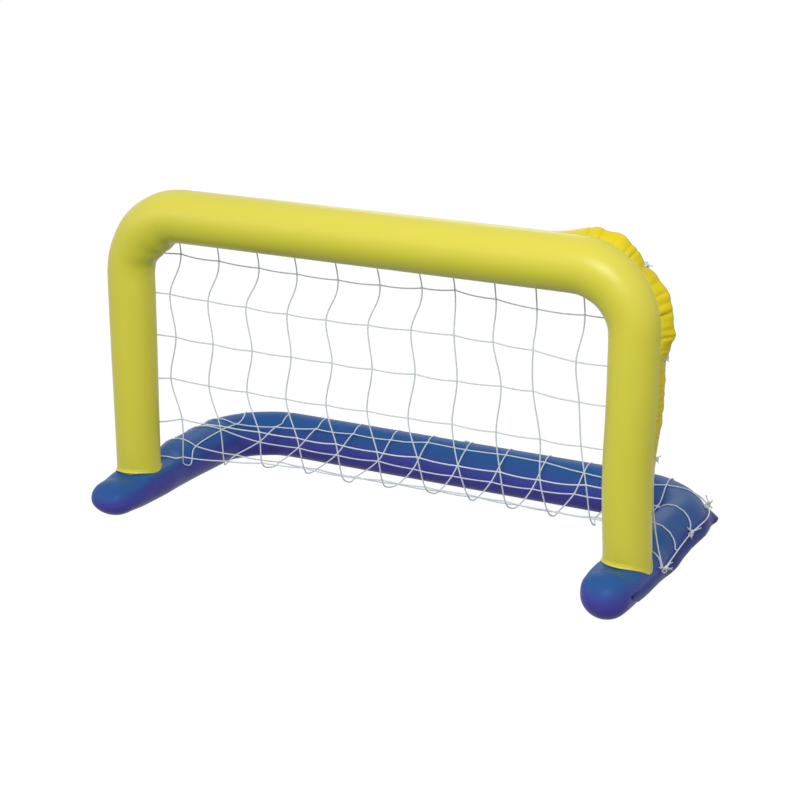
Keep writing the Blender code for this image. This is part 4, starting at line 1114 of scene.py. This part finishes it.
def tie_ends(at, high, seed, tails):
    """The four cut ends of a tie and their loose fibres."""
    cords = []
    for number in range(4):
        sign = -1.0 if number % 2 else 1.0
        lean = math.sin(seed * 2.1 + number * 1.9)
        length, rise = LONG_END if number < 2 else SHORT_END
        length = tails * length * (1.0 - 0.25 * abs(lean))
        tail = [at(sign * (0.002 + length * s), high + tails * rise * s, tails * 0.009 * lean * s)
                for s in np.linspace(0.0, 1.0, 7)]
        cords.append((tail, np.linspace(0.0014, 0.0011, 7)))
        way = (tail[-1] - tail[-2]) / np.linalg.norm(tail[-1] - tail[-2])
        for fibre in range(FIBRES):
            stray = random_offset(seed * 3.1, sign * 2.0, fibre * 1.7) * 0.0075 * tails
            path = [tail[-1] - way * 0.001 + (way * 0.0055 * tails + stray) * s for s in (0.0, 0.35, 0.7, 1.0)]
            cords.append((path, 0.0005))
    return cords


def tie_cords(centre, along, knot_way, ring, seed, tails):
    """The cords of one tie, round a centre: two turns, a knot, four ends and their loose fibres."""
    along = along / np.linalg.norm(along)
    knot_way = knot_way - along * np.dot(along, knot_way)
    knot_way = knot_way / np.linalg.norm(knot_way)
    other = np.cross(along, knot_way)

    def at(a, b, c):
        return centre + a * along + b * knot_way + c * other

    high = ring + 0.0028
    loop = [at(0.0026 * (t / TURN - 1.0), ring * math.cos(t), ring * math.sin(t))
            for t in np.linspace(0.0, 2 * TURN, 48)]
    knob = [at(0.0036 * (t / (1.5 * TURN) - 1.0), high + 0.0026 * math.cos(t), 0.0026 * math.sin(t))
            for t in np.linspace(0.0, 3 * TURN, 44)]
    over = [at(0.0042 * math.sin(t), high + 0.0036 * math.cos(t), 0.0010 * math.sin(2 * t))
            for t in np.linspace(0.0, TURN, 20)]
    core = [at(a, high, 0.0) for a in np.linspace(-0.0040, 0.0040, 7)]
    return [(loop, 0.0012), (knob, 0.0016), (over, 0.0015), (core, 0.0024)] + tie_ends(at, high, seed, tails)


print("each of a tie's four ends frays into", FIBRES, "fibres")

# %% Every tie
# how far the ring is moved, the knot's way (outwards, along Y and up), the ring's radius and the ends' size
ON_CROSSBAR = ((0.0, 0.001, -0.004), (-1.6, 1.0, 0.0), 0.0042, 0.55)
ON_POST = ((0.0, -0.0035, 0.0), (0.30, 1.0, 0.0), 0.0052, 0.55)
ON_BASE = ((0.0, 0.0, -0.0026), (1.0, 0.0, -0.8), 0.0048, 1.0)
ON_RIGHT_LEG = ((0.0, 0.0, -0.0026), (1.0, 0.0, 2.0), 0.0048, 1.0)


def tie_on(name, run, side, seed):
    """A tie through the frame's flap at its edge, or stitched through the base's flap beside the seam."""
    on_base = name.startswith(("rear", "base"))
    follow, points = (along_base, base_points) if on_base else (along_frame, frame_points)
    on_bar = run < (BASE if on_base else FRAME).bar_run
    lies = (ON_BASE if side < 0 else ON_RIGHT_LEG, ON_BASE) if on_base else (ON_POST, ON_CROSSBAR)
    moved, (outwards, *way), ring, tails = lies[on_bar]
    middle = follow(run, side)[0]
    ahead = follow(run + 0.002, side)[0] - middle
    outward = points(run, 1.0, 0.0, side) - points(run, 0.0, 0.0, side)
    knot_way = np.array([0.0, *way]) + outward * outwards
    cords = tie_cords(middle + np.array(moved), ahead, knot_way, ring, seed, tails)
    return cord_mesh(name + "_cord", cords, tie_cord, sides=6)


tie_runs = {"crossbar_tie_inner": FRAME_TIES[0], "crossbar_tie_outer": FRAME_TIES[1],
            "post_tie_corner": FRAME_TIES[2], "post_tie_upper": FRAME_TIES[3], "post_tie_lower": FRAME_TIES[4],
            "rear_tie_inner": TIE_SPACING, "rear_tie_outer": 2 * TIE_SPACING,
            "base_tie_corner": BASE_CORNER_TIE, "base_tie_rear": REAR_RUN, "base_tie_front": FRONT_RUN}
places = [("crossbar_tie_middle", 0.0, 1.0), ("rear_tie_middle", 0.0, 1.0)]
for word, side in (("_right", 1.0), ("_left", -1.0)):
    places += [(name + word, run, side) for name, run in tie_runs.items()]
ties = []
for seed, (name, run, side) in enumerate(places):
    ties.append(tie_on(name, run, side, float(seed)))
    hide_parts(name)
print(len(ties), "ties")

# %% [markdown]
# ## The air valves
#
# Each valve is four moulded pieces, made at the places that the CAD part gives them: a welded seat, a stem
# that slides through it, a plug on a strap, and a check disc inside. They are turned round the valve's axis,
# from radii and heights above the tube, and their edges are rounded.

# %% Air valve shapes
VALVES = {"frame_valve": ((0.617775, -0.149418, 0.35), (-0.19509, 0.98079, 0.0)),
          "base_valve": ((-0.01, 0.313364, 0.099305), (0.0, 0.5628, 0.82659))}
TURNED = {
    "seat": [(0.0062, -0.0006), (0.0101, -0.0006), (0.0101, 0.0005), (0.0092, 0.0014), (0.0062, 0.0016)],
    "stem": [(0.0032, -0.0125), (0.0052, -0.0125), (0.0059, -0.0100), (0.0059, 0.0018), (0.0074, 0.0018),
             (0.0074, 0.0030), (0.0038, 0.0030), (0.0032, 0.0024)],
    "plug": [(0.0, 0.0003), (0.0024, 0.0003), (0.0029, 0.0010), (0.0029, 0.0033), (0.0062, 0.0033),
             (0.0062, 0.0045), (0.0050, 0.0045), (0.0046, 0.0041), (0.0, 0.0041)],
    "check": [(0.0, -0.0134), (0.0045, -0.0134), (0.0045, -0.0128), (0.0, -0.0128)],
}
BARS = {"stem": (0.0070, 0.0090, 0.0016, 0.0018, 0.0030), "plug": (0.0055, 0.0098, 0.0016, 0.0034, 0.0042)}
BAR_FACES = ((0, 1, 3, 2), (4, 6, 7, 5), (0, 4, 5, 1), (2, 3, 7, 6), (0, 2, 6, 4), (1, 5, 7, 3))
EDGE_ROUNDING = {"seat": 0.0002, "stem": 0.0002, "plug": 0.0002, "check": 0.0001}
VALVE_SIDES = 40


def valve_piece(valve, kind):
    """One moulded piece of a valve: its profile turned round the axis, and its bar towards the hinge."""
    turns = [TURN * step / VALVE_SIDES for step in range(VALVE_SIDES)]
    profile = TURNED[kind] + TURNED[kind][:1]
    points = [(radius * math.cos(turn), radius * math.sin(turn), height) for radius, height in profile
              for turn in turns]
    faces = ring_faces(0, len(profile), VALVE_SIDES)
    if kind in BARS:
        near, far, half, under, over = BARS[kind]
        faces += [tuple(len(points) + spot for spot in spots) for spots in BAR_FACES]
        points += [(x, y, z) for x in (near, far) for y in (-half, half) for z in (under, over)]
    centre, axis = VALVES[valve]
    out = Vector(axis).normalized()
    hinge = (Vector((0.0, 0.0, -1.0)) + out * out.z).normalized()
    placed = np.array(centre) + np.array(points) @ np.array([hinge, out.cross(hinge), out])
    piece = new_piece(valve + "_" + kind + "_moulded", placed.tolist(), faces, valve_plastic)
    weld(piece, 1e-7, outward=True)
    rounding = piece.modifiers.new("moulded_edge", "BEVEL")
    rounding.width = EDGE_ROUNDING[kind]
    rounding.segments = 3
    rounding.limit_method = "ANGLE"
    rounding.harden_normals = True
    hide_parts(valve + "_" + kind)
    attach(piece, "goal" if kind == "seat" else valve + "_" + kind)
    return piece


valve_pieces = [valve_piece(valve, kind) for valve in VALVES for kind in TURNED]
print(len(valve_pieces), "valve pieces")

# %% [markdown]
# ## Floor and light
#
# The photograph is a cut-out on white, lit from the front. The floor and the world are plain white to the
# camera and in reflections. The object itself is lit by a soft world, a large lamp in front and above, and two
# weak ones, at the left and behind.

# %% Floor
WHITE = (1.0, 1.0, 1.0, 1.0)
FLOOR_BELOW = 0.0006


def seen_directly(tree):
    """1 for rays from the camera, off something glossy or through something clear, and 0 for light."""
    rays = add(tree, "LightPath")
    seen = work_out(tree, "MAXIMUM", rays["Is Camera Ray"], rays["Is Glossy Ray"])
    return work_out(tree, "MAXIMUM", seen, rays["Is Transmission Ray"])


floor_material, tree, shader = new_material("white_studio_floor")
set_inputs(shader, {"Base Color": colour("#8C8C8C"), "Roughness": 0.9})
share = work_out(tree, "MULTIPLY", seen_directly(tree), 0.88)
glow = add(tree, "Emission", {"Color": WHITE, "Strength": 1.12})[0]
mixed = add(tree, "MixShader", {0: share, 1: shader.outputs[0], 2: glow})[0]
set_inputs(tree.nodes["Material Output"], {"Surface": mixed})
bpy.ops.mesh.primitive_plane_add(size=40.0, location=(0.0, 4.0, -FLOOR_BELOW))
floor = bpy.context.object
floor.name = "floor"
floor.data.materials.append(floor_material)
print("floor at", floor.location.z)

# %% World and lamps
world = bpy.data.worlds.new("studio")
bpy.context.scene.world = world
world.use_nodes = True
tree = world.node_tree
set_inputs(tree.nodes["Background"],
           {"Color": WHITE, "Strength": spread(tree, seen_directly(tree), 0.0, 1.0, 0.50, 1.0)})
LAMPS = {"key": ((1.0, -2.9, 2.6), (0.0, -0.1, 0.4), (1.5, 1.2), 66.0),
         "fill": ((-2.6, -2.2, 1.6), (-0.2, 0.0, 0.3), (1.6, 1.6), 10.0),
         "back": ((-1.2, 3.4, 2.2), (0.0, 0.2, 0.3), (2.2, 1.4), 14.0)}
for name, (at, target, size, power) in LAMPS.items():
    data = bpy.data.lights.new(name, "AREA")
    data.energy = power
    data.shape = "RECTANGLE"
    data.size, data.size_y = size
    lamp = new_object(name, data)
    lamp.location = at
    lamp.rotation_euler = (Vector(target) - Vector(at)).to_track_quat("-Z", "Y").to_euler()
    print("lamp:", name, power, "W")

# %% [markdown]
# ## What rides on what
#
# Everything but the valves' moving pieces is one body, and the pieces are listed under slot names.

# %% Rides
slots = {"frame_vinyl": [front_skin, rear_skin, frame_flap_skin] + collars,
         "base_vinyl": [upper_skin, lower_skin, base_flap_skin],
         "net_cord": [net, net_knots] + ties, "valve_vinyl": valve_pieces}
for slot, pieces in slots.items():
    for piece in pieces:
        if piece not in valve_pieces:
            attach(piece, "goal")
